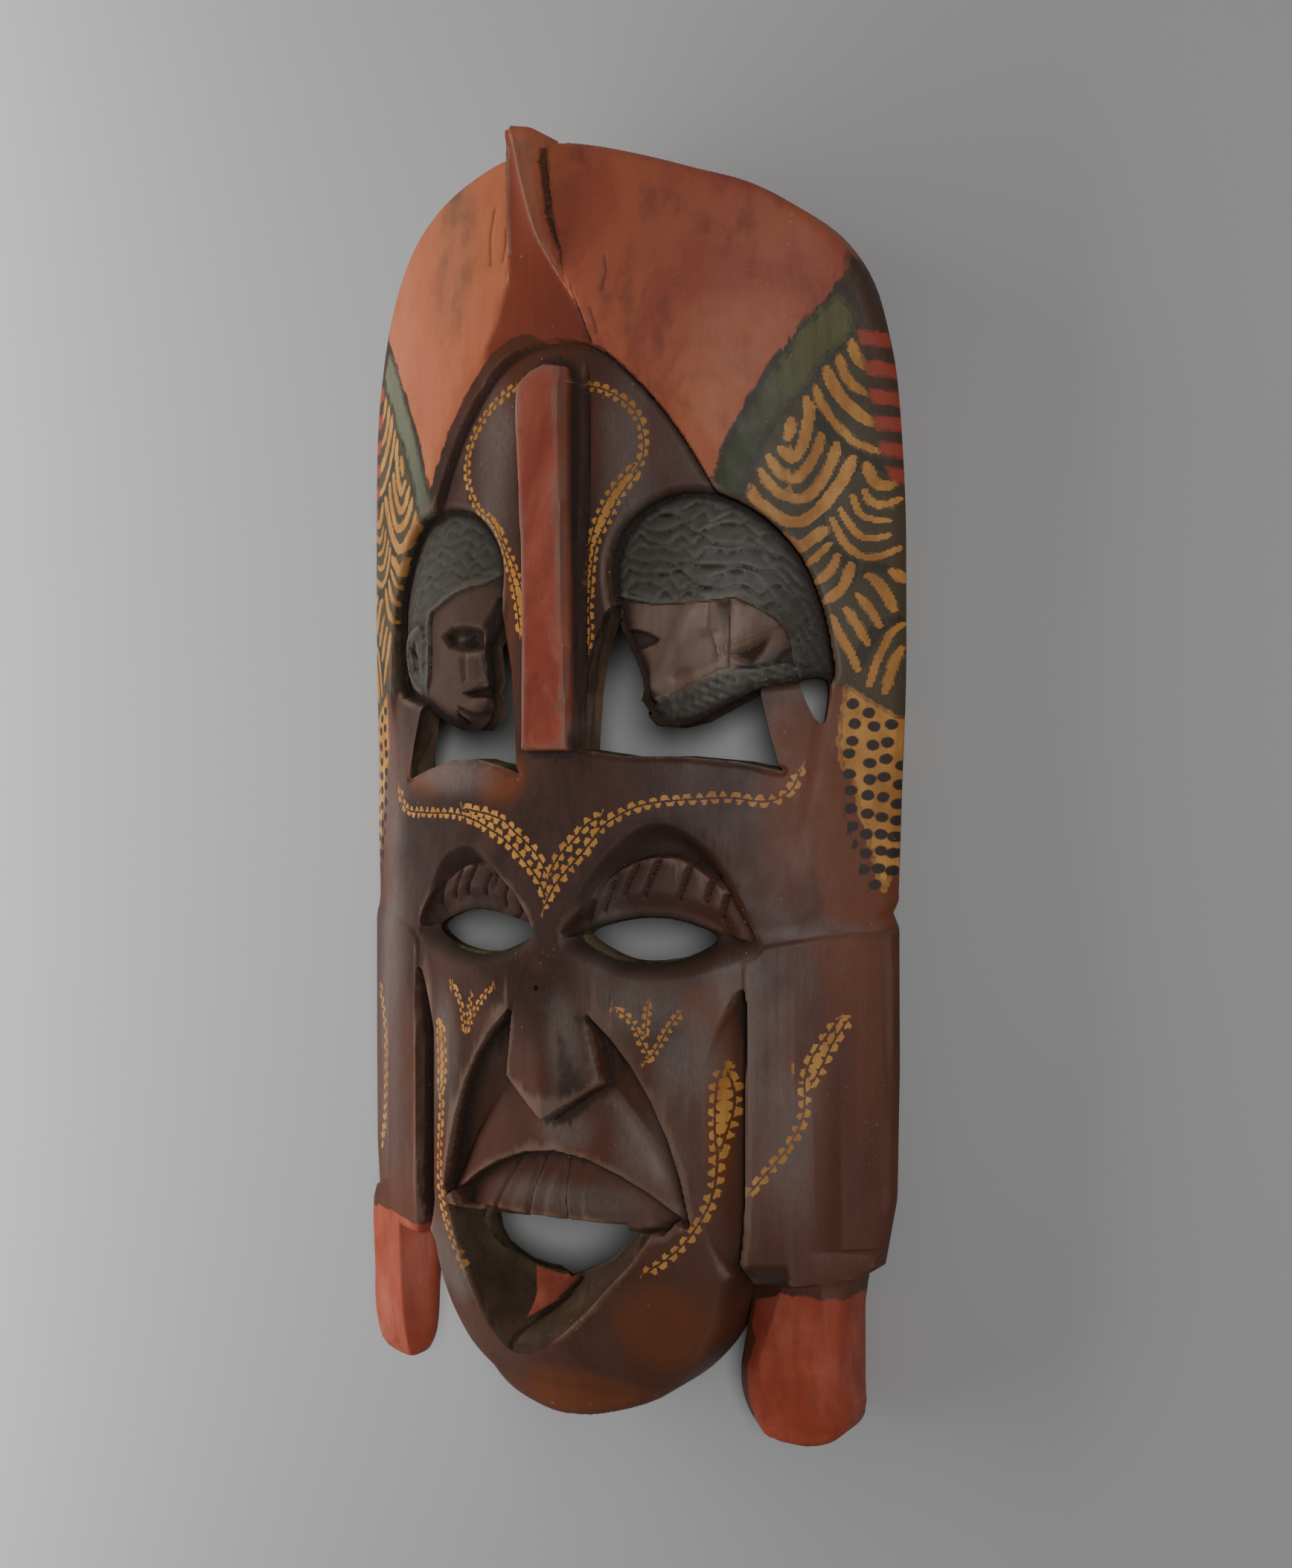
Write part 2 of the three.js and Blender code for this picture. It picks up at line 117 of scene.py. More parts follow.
def distanceTo(line, x, y, reach=20.0):  # how far off the line, how far along it, and how far to its left
    near = nearBox(line, x, y, reach)
    px, py = x[near], y[near]
    best, along, across = np.full(px.shape, reach * 2.0), np.zeros(px.shape), np.full(px.shape, reach * 2.0)
    start = 0.0
    for (ax, ay), (bx, by) in zip(line, line[1:]):
        dx, dy = bx - ax, by - ay
        length = math.hypot(dx, dy) or 1e-9
        t = np.clip(((px - ax) * dx + (py - ay) * dy) / length ** 2, 0, 1)
        away = np.hypot(px - ax - t * dx, py - ay - t * dy)
        turn = np.sign(dx * (py - ay) - dy * (px - ax))
        closer = away < best
        best = np.where(closer, away, best)
        along = np.where(closer, start + t * length, along)
        across = np.where(closer, away * turn, across)
        start += length
    return (spread(x.shape, near, best, reach * 2), spread(x.shape, near, along, 0.0),
            spread(x.shape, near, across, reach * 2))


def awayFrom(line, x, y, reach=20.0):
    return distanceTo(line, x, y, reach)[0]


def signedTo(outline, x, y, reach=20.0):  # negative inside the outline
    near = nearBox(outline, x, y, reach)
    px, py = x[near], y[near]
    best = np.full(px.shape, 1e6)
    inside = np.zeros(px.shape, bool)
    for (ax, ay), (bx, by) in zip(outline, outline[1:] + outline[:1]):
        dx, dy = bx - ax, by - ay
        length2 = dx * dx + dy * dy or 1e-9
        t = np.clip(((px - ax) * dx + (py - ay) * dy) / length2, 0, 1)
        best = np.minimum(best, np.hypot(px - ax - t * dx, py - ay - t * dy))
        crosses = (ay > py) != (by > py)
        inside ^= crosses & (px < ax + (py - ay) * dx / (dy or 1e-9))
    return spread(x.shape, near, np.where(inside, -best, best), reach)


def nearest(distances, most=20.0):
    for away in distances:
        most = np.minimum(most, away)
    return most


def bell(value, width):  # 1 at zero and falling away
    return np.exp(-(value / width) ** 2)


def mound(x, y, middleX, middleY, wide, tall):
    return np.exp(-((x - middleX) / wide) ** 2 - ((y - middleY) / tall) ** 2)


def ridgeAlong(line, x, y, width):  # 1 on the line and falling away from it
    return bell(awayFrom(line, x, y), width)


def facetOver(corners, x, y, soft):  # 1 inside the corners
    return between(signedTo(corners, x, y), soft * 0.3, -soft)


def lay(h, top, edge, soft=0.8):  # the new surface inside an edge, the old one outside
    return mix(h, top, between(edge, soft, -soft))


def ripple(x, y, size, seed):  # a smooth uneven surface between -1 and 1
    random = np.random.default_rng(seed)
    total = np.zeros(np.shape(x))
    for k in range(6):
        angle = random.uniform(0, math.tau)
        pitch = size * random.uniform(0.7, 1.6)
        along = x * math.cos(angle) + y * math.sin(angle)
        total += np.sin(along * math.tau / pitch + random.uniform(0, math.tau))
    return total / 6


def cell(number, seed):  # an even random value from 0 to 1 for a whole number
    return np.modf(np.abs(np.sin(number * 12.9898 + seed * 78.233)) * 43758.5453)[0]


def roundOff(depth, radius):  # how far a rounded edge falls, depth millimetres in from its outline
    inward = np.clip(radius - depth, 0, radius)
    return radius - np.sqrt(radius ** 2 - inward ** 2)


# The log and its outline

log = dict(halfWidth=122, rimHeight=17, rise=54, wall=17, chinWall=27, topSetBack=12, chinSetBack=24,
           edgeRound=3.5, lean=[(0, 0.935, 0.955), (5, 0.957, 0.972), (11, 0.981, 0.988), (17, 1, 1)])
outline = dict(
    rightArch=[(9.5, 247.5), (32.5, 240.5), (53, 233.5), (71, 227.5), (86.5, 218.5), (99.5, 207),
               (109.5, 191.5), (115.5, 171.5), (119, 151), (121.5, 115), (122, 85), (122, 45), (120.5, 5),
               (119.2, -36)],
    leftArch=[(24, 248.5), (38, 246), (63, 237.5), (86, 222), (103, 200), (113.5, 175), (119.5, 152),
              (122, 112), (122, 60), (120.5, 36), (118.3, 15), (118, -14), (116.8, -34)],
    ear=[(116.8, -41), (119.5, -47), (119.8, -100), (119, -146), (114.5, -170), (107, -175), (90, -177),
         (75, -176), (71, -170), (66, -177)],
    rightChin=[(60.5, -195), (49.5, -212), (32, -227), (8, -236)],
    leftChin=[(65, -192), (61, -208), (54, -221.8), (38, -233), (19, -237.8)])
archTop, chinTip = (-8, 250), (-8, -238.4)


def outlineSide(arch, chin, side):  # from the arch's top down to the chin's tip
    top = curved([(-arch[1][0], 245), (side * archTop[0], archTop[1])] + arch, 4)[4:]
    bottom = curved([outline["ear"][-1]] + chin + [(side * chinTip[0], chinTip[1])], 4)
    return onSide(top + outline["ear"][:-1] + bottom, side)


rightEdge = outlineSide(outline["rightArch"], outline["rightChin"], 1)
leftEdge = outlineSide(outline["leftArch"], outline["leftChin"], -1)
maskOutline = rightEdge[::-1] + leftEdge[1:-1]


def logFront(x, y):
    across = np.minimum(np.abs(x) / log["halfWidth"], 1) ** 2
    middle = 1 - between(np.abs(x), 66, 80)
    chin = log["chinSetBack"] * middle * np.clip((-150 - y) / 77, 0, 1) ** 2
    top = log["topSetBack"] * (1 - across) * np.clip((y - 140) / 107, 0, 1) ** 2
    return log["rimHeight"] + log["rise"] * (1 - across) - chin - top


# Hair, crest, forehead and bar

hair = dict(
    hairline=[(0, 173), (14, 171), (24, 166), (33, 158), (44, 145.5), (54, 130.5), (63, 114)],
    panelEdge=[(80, 101), (93, 82), (99, 60), (100, 40), (98, 15), (94, -10), (95, -38), (88, -50)],
    step=4.5, panelStep=2.5, groove=0.8, roll=1.6, templeSoft=8.0)
crest = dict(  # its edges and their heights over the hair, at a few places up its length
    y=[169, 173, 182, 191, 201, 210, 218, 227, 240, 252, 258],
    left=[-31, -30, -24.5, -22, -19.2, -18.7, -18.9, -19.4, -20.4, -21.4, -21.4],
    ridge=[17.5, 16, 12.7, 7.4, 1.4, -2.7, -5.6, -8.5, -12.5, -16.3, -17],
    right=[18.2, 16.6, 13.3, 8.4, 3.6, 0.8, -2.2, -4.6, -7.8, -10.4, -11],
    atLeft=[0, 0, 0, 0, 1.5, 4, 5.6, 7, 8.2, 9, 9],
    atRidge=[-3.6, -3.5, -3, -1.6, 1.5, 6, 7.8, 9.3, 11, 12, 12],
    atRight=[-3.6, -3.5, -3, -1.6, 0.8, 2.8, 3.8, 4.6, 5.4, 6.4, 6.6],
    cracks=[[(-30, 228), (-31, 217), (-29.6, 205.6)], [(-22.9, 219), (-22.4, 212), (-23.4, 205.5)],
            [(22.3, 202), (23.2, 196.4), (22.5, 191.8), (22.1, 190)], [(9.1, 192.3), (10.5, 187.4),
                                                                       (11.9, 183.5)],
            [(17.5, 183), (19.8, 177.2), (20.4, 173.5)]],
    crackDepth=0.4, splitDepth=1.1, edgeRound=1.0)
bar = dict(
    outline=[(12.5, 19.5), (11.2, 60), (10.5, 120), (10.3, 157), (8.5, 162), (0, 164), (-6, 162),
             (-10, 157), (-10.5, 145), (-8.8, 100), (-8.8, 60), (-9.5, 19.5)],
    rise=11, cornerRound=3.0, edgeRound=1.0, grooveDepth=2.5)
foreheadSide = curved(hair["hairline"], 4) + hair["panelEdge"]
foreheadOutline = foreheadSide + mirrored(foreheadSide)[:-1]


def carveForehead(h, x, y):
    inside = signedTo(foreheadOutline, x, y)
    top = mix(hair["panelStep"], hair["step"], between(y, 20, 90))
    step = np.where(y > 20, top, hair["panelStep"] * between(y, -52, 20))
    h = h - hair["roll"] * between(inside, 10, 0) * between(y, 100, 130) * (inside > 0)
    soft = mix(hair["templeSoft"], 0.9, between(y, 22, 50))  # the brow plate runs softly into the temples
    h = mix(h, logFront(x, y) - step, between(inside, 0.8, -soft))
    return h - hair["groove"] * bell(inside + 1.4, 1.0) * between(y, 100, 125)


def crestLines(y, *names):
    return [np.interp(y, crest["y"], crest[name]) for name in names]


def carveCrest(h, x, y):
    left, ridge, right, atLeft, atRidge, atRight = crestLines(
        y, "left", "ridge", "right", "atLeft", "atRidge", "atRight")
    share = np.clip((x - left) / (ridge - left), 0, 1)
    facet = mix(atLeft, atRidge, share ** 1.3) - 0.8 * np.sin(share * math.pi) * between(y, 175, 225)
    slope = mix(atRidge, atRight, np.clip((x - ridge) / (right - ridge), 0, 1))
    softLeft = mix(5.0, 0.3, between(y, 190, 203))
    inside = between(x, left - softLeft * 0.2, left + softLeft) * between(x, right + 1.0, right - 0.7)
    h = h + np.where(x < ridge, facet, slope) * inside * between(y, 168, 172)
    for line in crest["cracks"]:
        h = h - crest["crackDepth"] * ridgeAlong(line, x, y, 0.5)
    fromRight = x - right - 0.9 - 0.5 * np.sin(y / 4.0) - 0.3 * np.sin(y / 1.7)
    beside = bell(fromRight, 0.4) * between(y, 194, 201)
    split = bell(x - 10 - 0.35 * (190 - y), 0.5) * between(y, 176, 180) * between(y, 193, 188)
    return h - crest["splitDepth"] * (beside + 0.7 * split)


crestEnd = ([(np.interp(y, crest["y"], crest["left"]), y) for y in range(195, 256, 4)]
            + [(np.interp(y, crest["y"], crest["right"]), y) for y in range(255, 194, -4)])


def crestBlock(x, y):  # the crest alone, which stands out past the top of the hair
    return carveCrest(logFront(x, y), x, y) - roundOff(-signedTo(crestEnd, x, y), crest["edgeRound"])


def carveBar(h, x, y):
    inside = signedTo(bar["outline"], x, y)
    top = logFront(0, np.minimum(y, 140)) - hair["step"] + bar["rise"] * mix(0.8, 1, between(y, 20, 160))
    top = top - roundOff(-inside, bar["cornerRound"]) * between(x, 4, -4)
    top = top - roundOff(-inside, bar["edgeRound"])
    top = top + 0.35 * ripple(x * 2, y, 30, 5) - 5 * between(y, 152, 165)
    groove = bell(x - 14.2 - 0.5 * np.sin(y / 17), 1.0) * between(y, 18, 30) * between(y, 168, 150)
    return lay(h - bar["grooveDepth"] * groove, top, inside)


# The two small heads

youngSocket = [(61, 65), (54, 68.5), (46, 68.8), (36.5, 67), (36, 58.5), (48, 58.2), (56, 60)]
youngNick = [(54.8, 36), (52, 33.6), (45.6, 29.8), (53.2, 29.2)]
heads = [  # a facet or ridge has its height, softness and corners, a mound its height, middle and size
    dict(side=1, middle=(62, 74), hairDepth=0.8,
         skull=[(92, 45), (100, 46), (99, 58), (96.5, 72), (90, 90), (79, 104), (65, 112.5), (50, 114.5),
                (36, 109.5), (27, 101), (23, 89), (24, 76)],
         profile=[(27, 65), (29, 59.5), (32.5, 54), (35.5, 46.5), (36, 42), (34.5, 38), (37, 35),
                  (38, 31.5), (41, 28.5), (47, 28), (55, 30), (65, 36), (77, 43)],
         face=[(67.5, 75), (55, 73.6), (40, 73.4), (20, 75.2), (20, 50), (40, 20), (60, 20), (86, 40),
               (86, 52), (84, 64), (78, 70), (69, 75)],
         windowFoot=[(84, 12), (81, 24), (78.5, 35)],
         windowSide=[(25, 74), (22, 70), (17.5, 56), (14.5, 40), (13, 20), (30, 17.5), (50, 17.5),
                     (70, 15.5)],
         facets=[
             (-2.2, 1.2, curved([(21, 61.5), (26, 63.8), (33, 64.2), (38, 62.8), (42, 60.5)], 4)
              + [(40, 58.6), (34, 57), (28, 57.5), (22, 59)]),
             (-1.8, 3.0, [(22, 60), (29, 60), (31.5, 54), (35, 46), (30, 44), (20, 56)]),
             (-1.5, 2.5, [(56, 64), (63, 64), (63.5, 53), (46, 44.5), (44, 47)]),
             (-1.2, 1.8, [(61.5, 74), (67, 75), (66, 62), (64.5, 52), (62.8, 54)]),
             (1.0, 0.8, [(67, 74.5), (76, 71.5), (84.5, 65), (84, 56), (80, 51), (66, 49.5)]),
             (-3.2, 2.6, [(65.5, 54.5), (72, 58), (80, 62), (77, 55), (73, 50.5)])],
         ridges=[(2.2, 4.2, [(54, 70), (50, 61), (44, 52), (38.5, 43)]),
                 (0.9, 0.8, [(61, 73), (60.5, 64), (62.5, 54)]), (0.6, 0.7, [(68, 59), (75, 62), (83, 66)]),
                 (-0.8, 0.5, [(66.5, 74), (65.8, 62), (65, 51)]), (-1.6, 0.7, [(34, 37.6), (38, 37.2)]),
                 (-1.28, 0.6, [(36, 34.4), (39.5, 33)])],
         mounds=[(0.7, 33, 60, 4.0, 1.6)],
         beard=[(37.5, 39.5), (46, 41.5), (55, 45.5), (63, 50), (74, 50), (85, 52.5), (90, 46), (70, 32),
                (48, 22), (36, 28)]),
    dict(side=-1, middle=(61, 72), hairDepth=0.6,
         skull=[(92, 42), (98, 48), (98, 62), (96, 78), (89, 92), (79, 107), (67, 113.5), (54, 115),
                (41, 112), (31, 104), (25, 93), (25, 80)],
         profile=[(25, 74), (28.5, 67), (33.5, 60), (32.5, 54), (31.5, 47), (33.5, 42), (30.5, 38.5),
                  (31.5, 34), (34.5, 30), (39, 27.5), (48, 27.5), (60, 31), (74, 38)],
         face=[(68.5, 73.5), (61, 77), (52, 80.8), (43, 83), (35, 84), (20, 86), (20, 50), (30, 20),
               (60, 20), (76, 34), (74, 44), (71, 50), (69.5, 62)],
         windowFoot=[(85, 8), (80, 23), (76, 33)],
         windowSide=[(23.5, 73), (21, 62), (18, 50), (16, 30), (15, 11), (25, 14), (38, 16.5), (52, 16),
                     (70, 12)],
         facets=[(-4.0, 2.6, youngSocket), (-2.6, 0.9, youngNick),
                 (1.3, 1.2, [(45.5, 57.5), (38, 58.5), (36.4, 46), (41, 45), (46, 47.2)]),
                 (-1.0, 1.6, [(49.5, 56), (45.8, 57), (46.6, 47), (49, 46)]),
                 (-3.2, 0.9, [(49.5, 42.2), (42, 44.2), (33, 44.4), (34.5, 40.4), (44, 40.4)]),
                 (-1.8, 1.6, [(90, 62), (84, 65), (80, 58), (81, 50), (87, 52)])],
         ridges=[(-1.6, 0.8, [(52.5, 36.5), (47, 34.5), (41.5, 33.4), (35, 34.5)]),
                 (1.5, 1.3, curved([(76, 69.5), (85, 67.8), (92.5, 63), (92, 53), (85, 46), (79, 43)], 4)),
                 (0.9, 1.0, [(75.5, 70), (74.6, 62), (76.5, 52)]), (-1.3, 0.8, [(89, 61), (84.5, 58),
                                                                                (80.5, 53.5)])],
         mounds=[(2.8, 48.5, 63.4, 4.2, 2.5), (-1.8, 44.2, 62.4, 2.2, 2.6), (1.1, 43, 37.6, 5.0, 2.2)],
         farSide=[(27, 79), (30, 78.5), (36.8, 68.4), (35.8, 57.6), (35, 45), (34.6, 40), (20, 40),
                  (20, 79)])]
headForm = dict(sink=3, round=7, width=40, height=47, faceSink=1.8, neckSink=1.5, edgeRound=1.4, trench=1.2,
                lockHeight=4.2, lockLength=15.0, beardRise=1.3, farSideSink=4.5)
napeHole = [(88.5, 45), (90.5, 38), (94.5, 31), (97.5, 29.5), (99.3, 33), (99.5, 45.5)]
napeSlant, napeLevel = (0.5, 0), 36  # the hole is cut aslant: the outline is that at this height
for head in heads:
    side = head["side"]
    head["outline"] = onSide(curved(head["skull"], 3) + head["profile"], side)
    head["window"] = onSide(head["windowFoot"] + head["profile"][::-1] + head["windowSide"], side)
    head["smooth"] = onSide(curved(head["face"], 3, True), side)


def hairLocks(x, y, side):  # wavy cuts with pointed locks between them, bending down behind the ear
    u = side * x
    across = y + np.maximum(u - 68, 0) ** 2 / 36 + 2.0 * ripple(x, y, 38, 3) + 1.1 * ripple(x, y, 12, 4)
    along = u - 0.5 * y * between(u, 66, 90) + 6 * ripple(x, y, 24, 8)
    pitch, length = headForm["lockHeight"], headForm["lockLength"]
    locks, closest = np.ones(np.shape(x)), np.full(np.shape(x), 9.0)
    first = np.floor(across / pitch)
    for k in (-1, 0, 1, 2):
        row = first + k
        wave = along * math.tau / (length * (0.7 + 0.6 * cell(row, 6))) + math.tau * cell(row, 5)
        away = across - row * pitch - 0.36 * pitch * np.sin(wave)
        strength = np.clip(0.5 + 0.9 * ripple(x * 0.7, y, 8, 11 + k), 0.05, 1)
        locks = np.minimum(locks, 1 - strength * bell(away, 0.45))
        closest = np.where((away > 0) & (away < closest), away, closest)
    return locks - 0.4 * between(closest, 0, pitch) - 0.3 * (0.5 + 0.5 * ripple(x, y, 4.0, 9))


def carveFace(top, u, y, head, fromWindow):
    for height, soft, corners in head["facets"]:
        top = top + height * facetOver(corners, u, y, soft)
    for height, width, line in head["ridges"]:
        top = top + height * ridgeAlong(line, u, y, width)
    for height, *place in head["mounds"]:
        top = top + height * mound(u, y, *place)
    if "beard" in head:
        tufts = 0.45 * ripple(u, y, 3.2, 21) + 0.35 * ripple(u, y * 0.6, 6, 22)
        return top + (headForm["beardRise"] + tufts) * facetOver(head["beard"], u, y, 0.9)
    beyond = facetOver(head["farSide"], u, y, 1.4) * between(-np.abs(fromWindow), -11, -1.0)
    return top - headForm["farSideSink"] * beyond


def carveHead(h, x, y, head):
    inside = signedTo(head["outline"], x, y)
    near = inside < 4
    px, py, u = x[near], y[near], head["side"] * x[near]
    middleX, middleY = head["middle"]
    away = np.hypot((u - middleX) / headForm["width"], (py - middleY) / headForm["height"])
    top = logFront(px, py) - headForm["sink"] - headForm["round"] * np.minimum(away, 1) ** 2.5
    fromFace = signedTo(head["smooth"], px, py)
    locks = head["hairDepth"] * (hairLocks(px, py, head["side"]) - 1) * between(fromFace, 0, 1.5)
    neck = between(py, 48, 40) * between(u, 70, 76)
    top = top + (locks - headForm["faceSink"] * between(fromFace, 0.3, -0.5)) * (1 - neck)
    fromWindow = signedTo(head["window"], px, py)
    top = carveFace(top - headForm["neckSink"] * neck, u, py, head, fromWindow)
    top = top - roundOff(fromWindow, headForm["edgeRound"])
    h = h.copy()
    h[near] = mix(h[near], top, between(inside[near], 0.7, -0.9))
    return h - headForm["trench"] * bell(inside - 0.6, 1.1)


# Eyes

eyeSlot = curved([(12, -49.5), (26, -57), (38, -58.5), (52, -56), (60.5, -49.5), (50, -44), (38, -42.5),
                  (24, -44.5)], 4, True)
eyes = [
    dict(side=1, socket=[(4, -51), (18, -61), (38, -66), (60, -62.5), (79, -54), (75, -38), (65, -16),
                         (48, -4), (33, -7), (17, -24)],
         lid=[(8, -49.5), (38, -42), (74, -50.5), (69.5, -38), (64.5, -30.5), (57, -24), (49, -19.8),
              (39, -19.6), (30, -23), (23, -28), (15.5, -37)],
         notches=[[(25.3, -29.4), (23, -35), (19.5, -40.2)], [(34.4, -22.6), (31, -29), (29, -34.3)],
                  [(42.4, -20), (39, -28), (36.4, -34.2)], [(53.6, -21.6), (51.6, -28), (49, -35)],
                  [(61.5, -27), (60, -31), (58.7, -35.6)], [(65.8, -34), (64.6, -38), (63.8, -42)],
                  [(17.2, -36.5), (13, -44)]]),
    dict(side=-1, socket=[(4, -51), (18, -61), (38, -65), (58, -61.5), (74, -54), (70, -43), (59, -22),
                          (43, -14), (30, -18), (14, -34)],
         lid=[(9, -48), (38, -42), (70.5, -50.5), (65.8, -39), (54, -29.7), (43, -24.3), (31, -24.7),
              (21, -30.5), (13.5, -37)],
         notches=[[(58.5, -32.6), (60.5, -37), (63, -41.6)], [(46.4, -26), (50, -32), (53.4, -38)],
                  [(38, -24.6), (42, -30.5), (45.2, -36.4)], [(30, -28), (32.5, -32), (34.4, -36)],
                  [(21.2, -32.6), (23.5, -36.5), (24.8, -40.4)], [(14.4, -38), (17, -42), (19.6, -45.6)],
                  [(26.6, -28), (28, -32.6)]])]
eyeForm = dict(depth=9.5, reach=12, lidDepth=4.5, lidFall=4.0, notch=1.7, facet=0.7, edgeRound=1.2,
               slant=(0.5, 0.08), slantLevel=56)
for eye in eyes:
    for edge in ("socket", "lid"):
        eye[edge] = onSide(curved(eye[edge], 5, True), eye["side"])
    eye["slot"] = onSide(eyeSlot, eye["side"])


def carveEye(h, x, y, eye):
    socket, lid, slot = (signedTo(eye[edge], x, y) for edge in ("socket", "lid", "slot"))
    bowl = logFront(x, y) - eyeForm["depth"] * between(-socket, 0, eyeForm["reach"])
    h = lay(h, np.minimum(h, bowl), socket)
    h = lay(h, logFront(x, y) - eyeForm["lidDepth"] - eyeForm["lidFall"] * between(slot, 11, 3), lid)
    for line in eye["notches"]:
        away, _, across = distanceTo(line, eye["side"] * x, y)
        h = h - eyeForm["notch"] * bell(away, 0.6) - eyeForm["facet"] * bell(away, 2.6) * (across > 0)
    return h - roundOff(slot, eyeForm["edgeRound"])


# Cheeks, nose, muzzle and mouth

face = dict(
    cheekEdge=[(17.5, -79), (26, -87), (34, -97), (41, -109), (47, -123), (51.5, -138), (54.5, -153)],
    cutLine=[(17.5, -79), (22, -104.5), (32, -117), (42, -130), (49, -143), (54.5, -153)],
    lipEdge=[(50, -153), (38, -144.5), (27, -138.5), (14, -133.5)],
    nose=[(22, -104.5), (19.5, -92), (17, -79), (13, -68), (6, -57)],
    cheekCut=10, philtrum=1.2, lipDepth=11, mouthDepth=17, tongueRise=1.0, edgeRound=1.2,
    mouth=[(42.5, -157), (-51.5, -159), (-47.5, -176), (-43.5, -190), (-39, -204), (-30, -216),
           (-12, -211.5), (9, -194.5), (21.5, -182), (33, -170)],
    opening=[(30, -156.5), (-35, -157), (-38, -163), (-35, -170), (-29, -175.5), (-20, -179), (-12, -181),
             (-5, -182.5), (2, -181), (11, -176.5), (20.5, -171), (28, -164)],
    throat=[(24, -163), (-38.5, -163), (-37, -169.5), (-33.5, -174.5), (-27, -178), (-21.5, -180.6),
            (-13.5, -181.8), (-6.3, -182), (-4.3, -184), (3.4, -180.6), (13.8, -174.8), (21.4, -167.2)],
    throatLevel=46, throatSlant=(0.66, 0.28),
    foot=[(-52, -160), (-74, -160), (-74, -181), (-72, -189), (-66, -198), (-57, -206), (-48, -207)],
    footHeight=12, footSlant=(0.6, 0),
    valley=[(1, -183), (-12, -196.5), (-23, -207), (-29, -214.5)],
    tongue=[(0.3, -179), (-1, -185), (-10.4, -193.8), (-21.9, -201.8), (-16, -178)],
    teeth=[(-24, -146, -24), (-8, -139, -12), (4, -140, 6)])
cheekEdge, lipEdge = face["cheekEdge"], face["lipEdge"]
muzzleOutline = ([(54.5, -155)] + cheekEdge[::-1] + mirrored(cheekEdge[::-1]) + [(-54.5, -155)]
                 + mirrored(lipEdge)[::-1] + [(0, -131.5)] + lipEdge[::-1])
noseOutline = [(0, -119)] + face["nose"] + mirrored(face["nose"])
lipArc = lipEdge + [(0, -131.5)] + mirrored(lipEdge)
lipOutline = lipArc + [(-46, -158), (0, -161), (46, -158)]
mouthOutline = curved(face["mouth"][2:], 5)
bowlEdge = [(44, -140), (-53, -140)] + mouthOutline  # the same, but open under the lip
mouthOutline = [face["mouth"][0], face["mouth"][1]] + mouthOutline


def carveMuzzle(h, x, y):
    side = np.abs(x)
    toEdge = awayFrom(cheekEdge, side, y)
    toLine, _, across = distanceTo(face["cutLine"], side, y)
    outer = across < 0
    slope = toEdge / np.maximum(toEdge + toLine, 0.1)
    cut = np.where(outer, face["cheekCut"] * slope, face["cheekCut"] - 5 * between(toLine, 0, 14))
    top = logFront(x, y) - cut + face["philtrum"] * bell(x, 5.0) * ~outer
    h = lay(h, top, signedTo(muzzleOutline, x, y))
    lip = logFront(x, y) - face["lipDepth"] + 6 * between(awayFrom(lipArc, x, y), 0, 18)
    for u, v, lean in face["teeth"]:
        turn = math.radians(lean)
        away = (x - u) * math.cos(turn) + (y - v) * math.sin(turn)
        lip = lip - 1.3 * bell(away, 1.1) - 0.8 * between(away, 0, 6) * between(away, 9, 6)
    h = lay(h, lip, signedTo(lipOutline, x, y))
    down = between(-y, 57, 108)
    nose = logFront(x, y) + (4.5 - 0.36 * np.sqrt(x ** 2 + 9)) * down
    return lay(h, nose, signedTo(noseOutline, x, y), 0.9)


def carveMouth(h, x, y):
    toValley = awayFrom(face["valley"], x, y, reach=60)
    depth = np.maximum(-signedTo(bowlEdge, x, y), 0)
    share = np.clip(depth / np.maximum(depth + toValley, 0.1), 0, 1)
    bowl = logFront(x, y) - (face["mouthDepth"] * share ** 0.8 + 3) * between(y, -212, -190)
    bowl = bowl - bell(toValley, 0.8)
    h = lay(h, np.minimum(h, bowl), signedTo(mouthOutline, x, y))
    h = lay(h, h + face["tongueRise"], signedTo(face["tongue"], x, y), 0.3)
    return h - roundOff(signedTo(face["opening"], x, y), face["edgeRound"])


# Ears and the groove beside them

ears = dict(
    outline=[(119.5, -46), (98, -48), (80, -52), (73.5, -56), (73.5, -171), (119.5, -171)],
    foot=[(73, -168.5), (86.8, -168.5), (88, -176.8), (106, -176.5), (115, -171), (120, -165), (73, -160)],
    groove=[(73, -68), (61, -95), (58, -125), (61, -155), (69, -172), (73, -150), (73.5, -110)],
    grooveDepth=13, step=1.5)


def carveEar(h, x, y, side):
    inside = signedTo(onSide(ears["outline"], side), x, y)
    if side > 0:
        inside = np.where(y < -163, signedTo(ears["foot"], x, y), inside)
    h = lay(h, logFront(x, y) + ears["step"] * between(-y, 44, 52), inside, 1.2)
    cut = logFront(x, y) - ears["grooveDepth"] * np.clip((np.abs(x) - 57) / 14.5, 0, 1) ** 2.5
    return lay(h, np.minimum(h, cut), signedTo(onSide(curved(ears["groove"], 5, True), side), x, y))


plateRims = [  # where the brow plate meets the windows
    [(13, 20), (30, 17.5), (50, 17.5), (70, 15.5), (84, 12)],
    [(-15, 11), (-25, 14), (-38, 16.5), (-52, 16), (-70, 12), (-85, 8)]]
templeCrease = [(100, 35), (98, 15), (95, -10), (96, -25), (99, -43)]


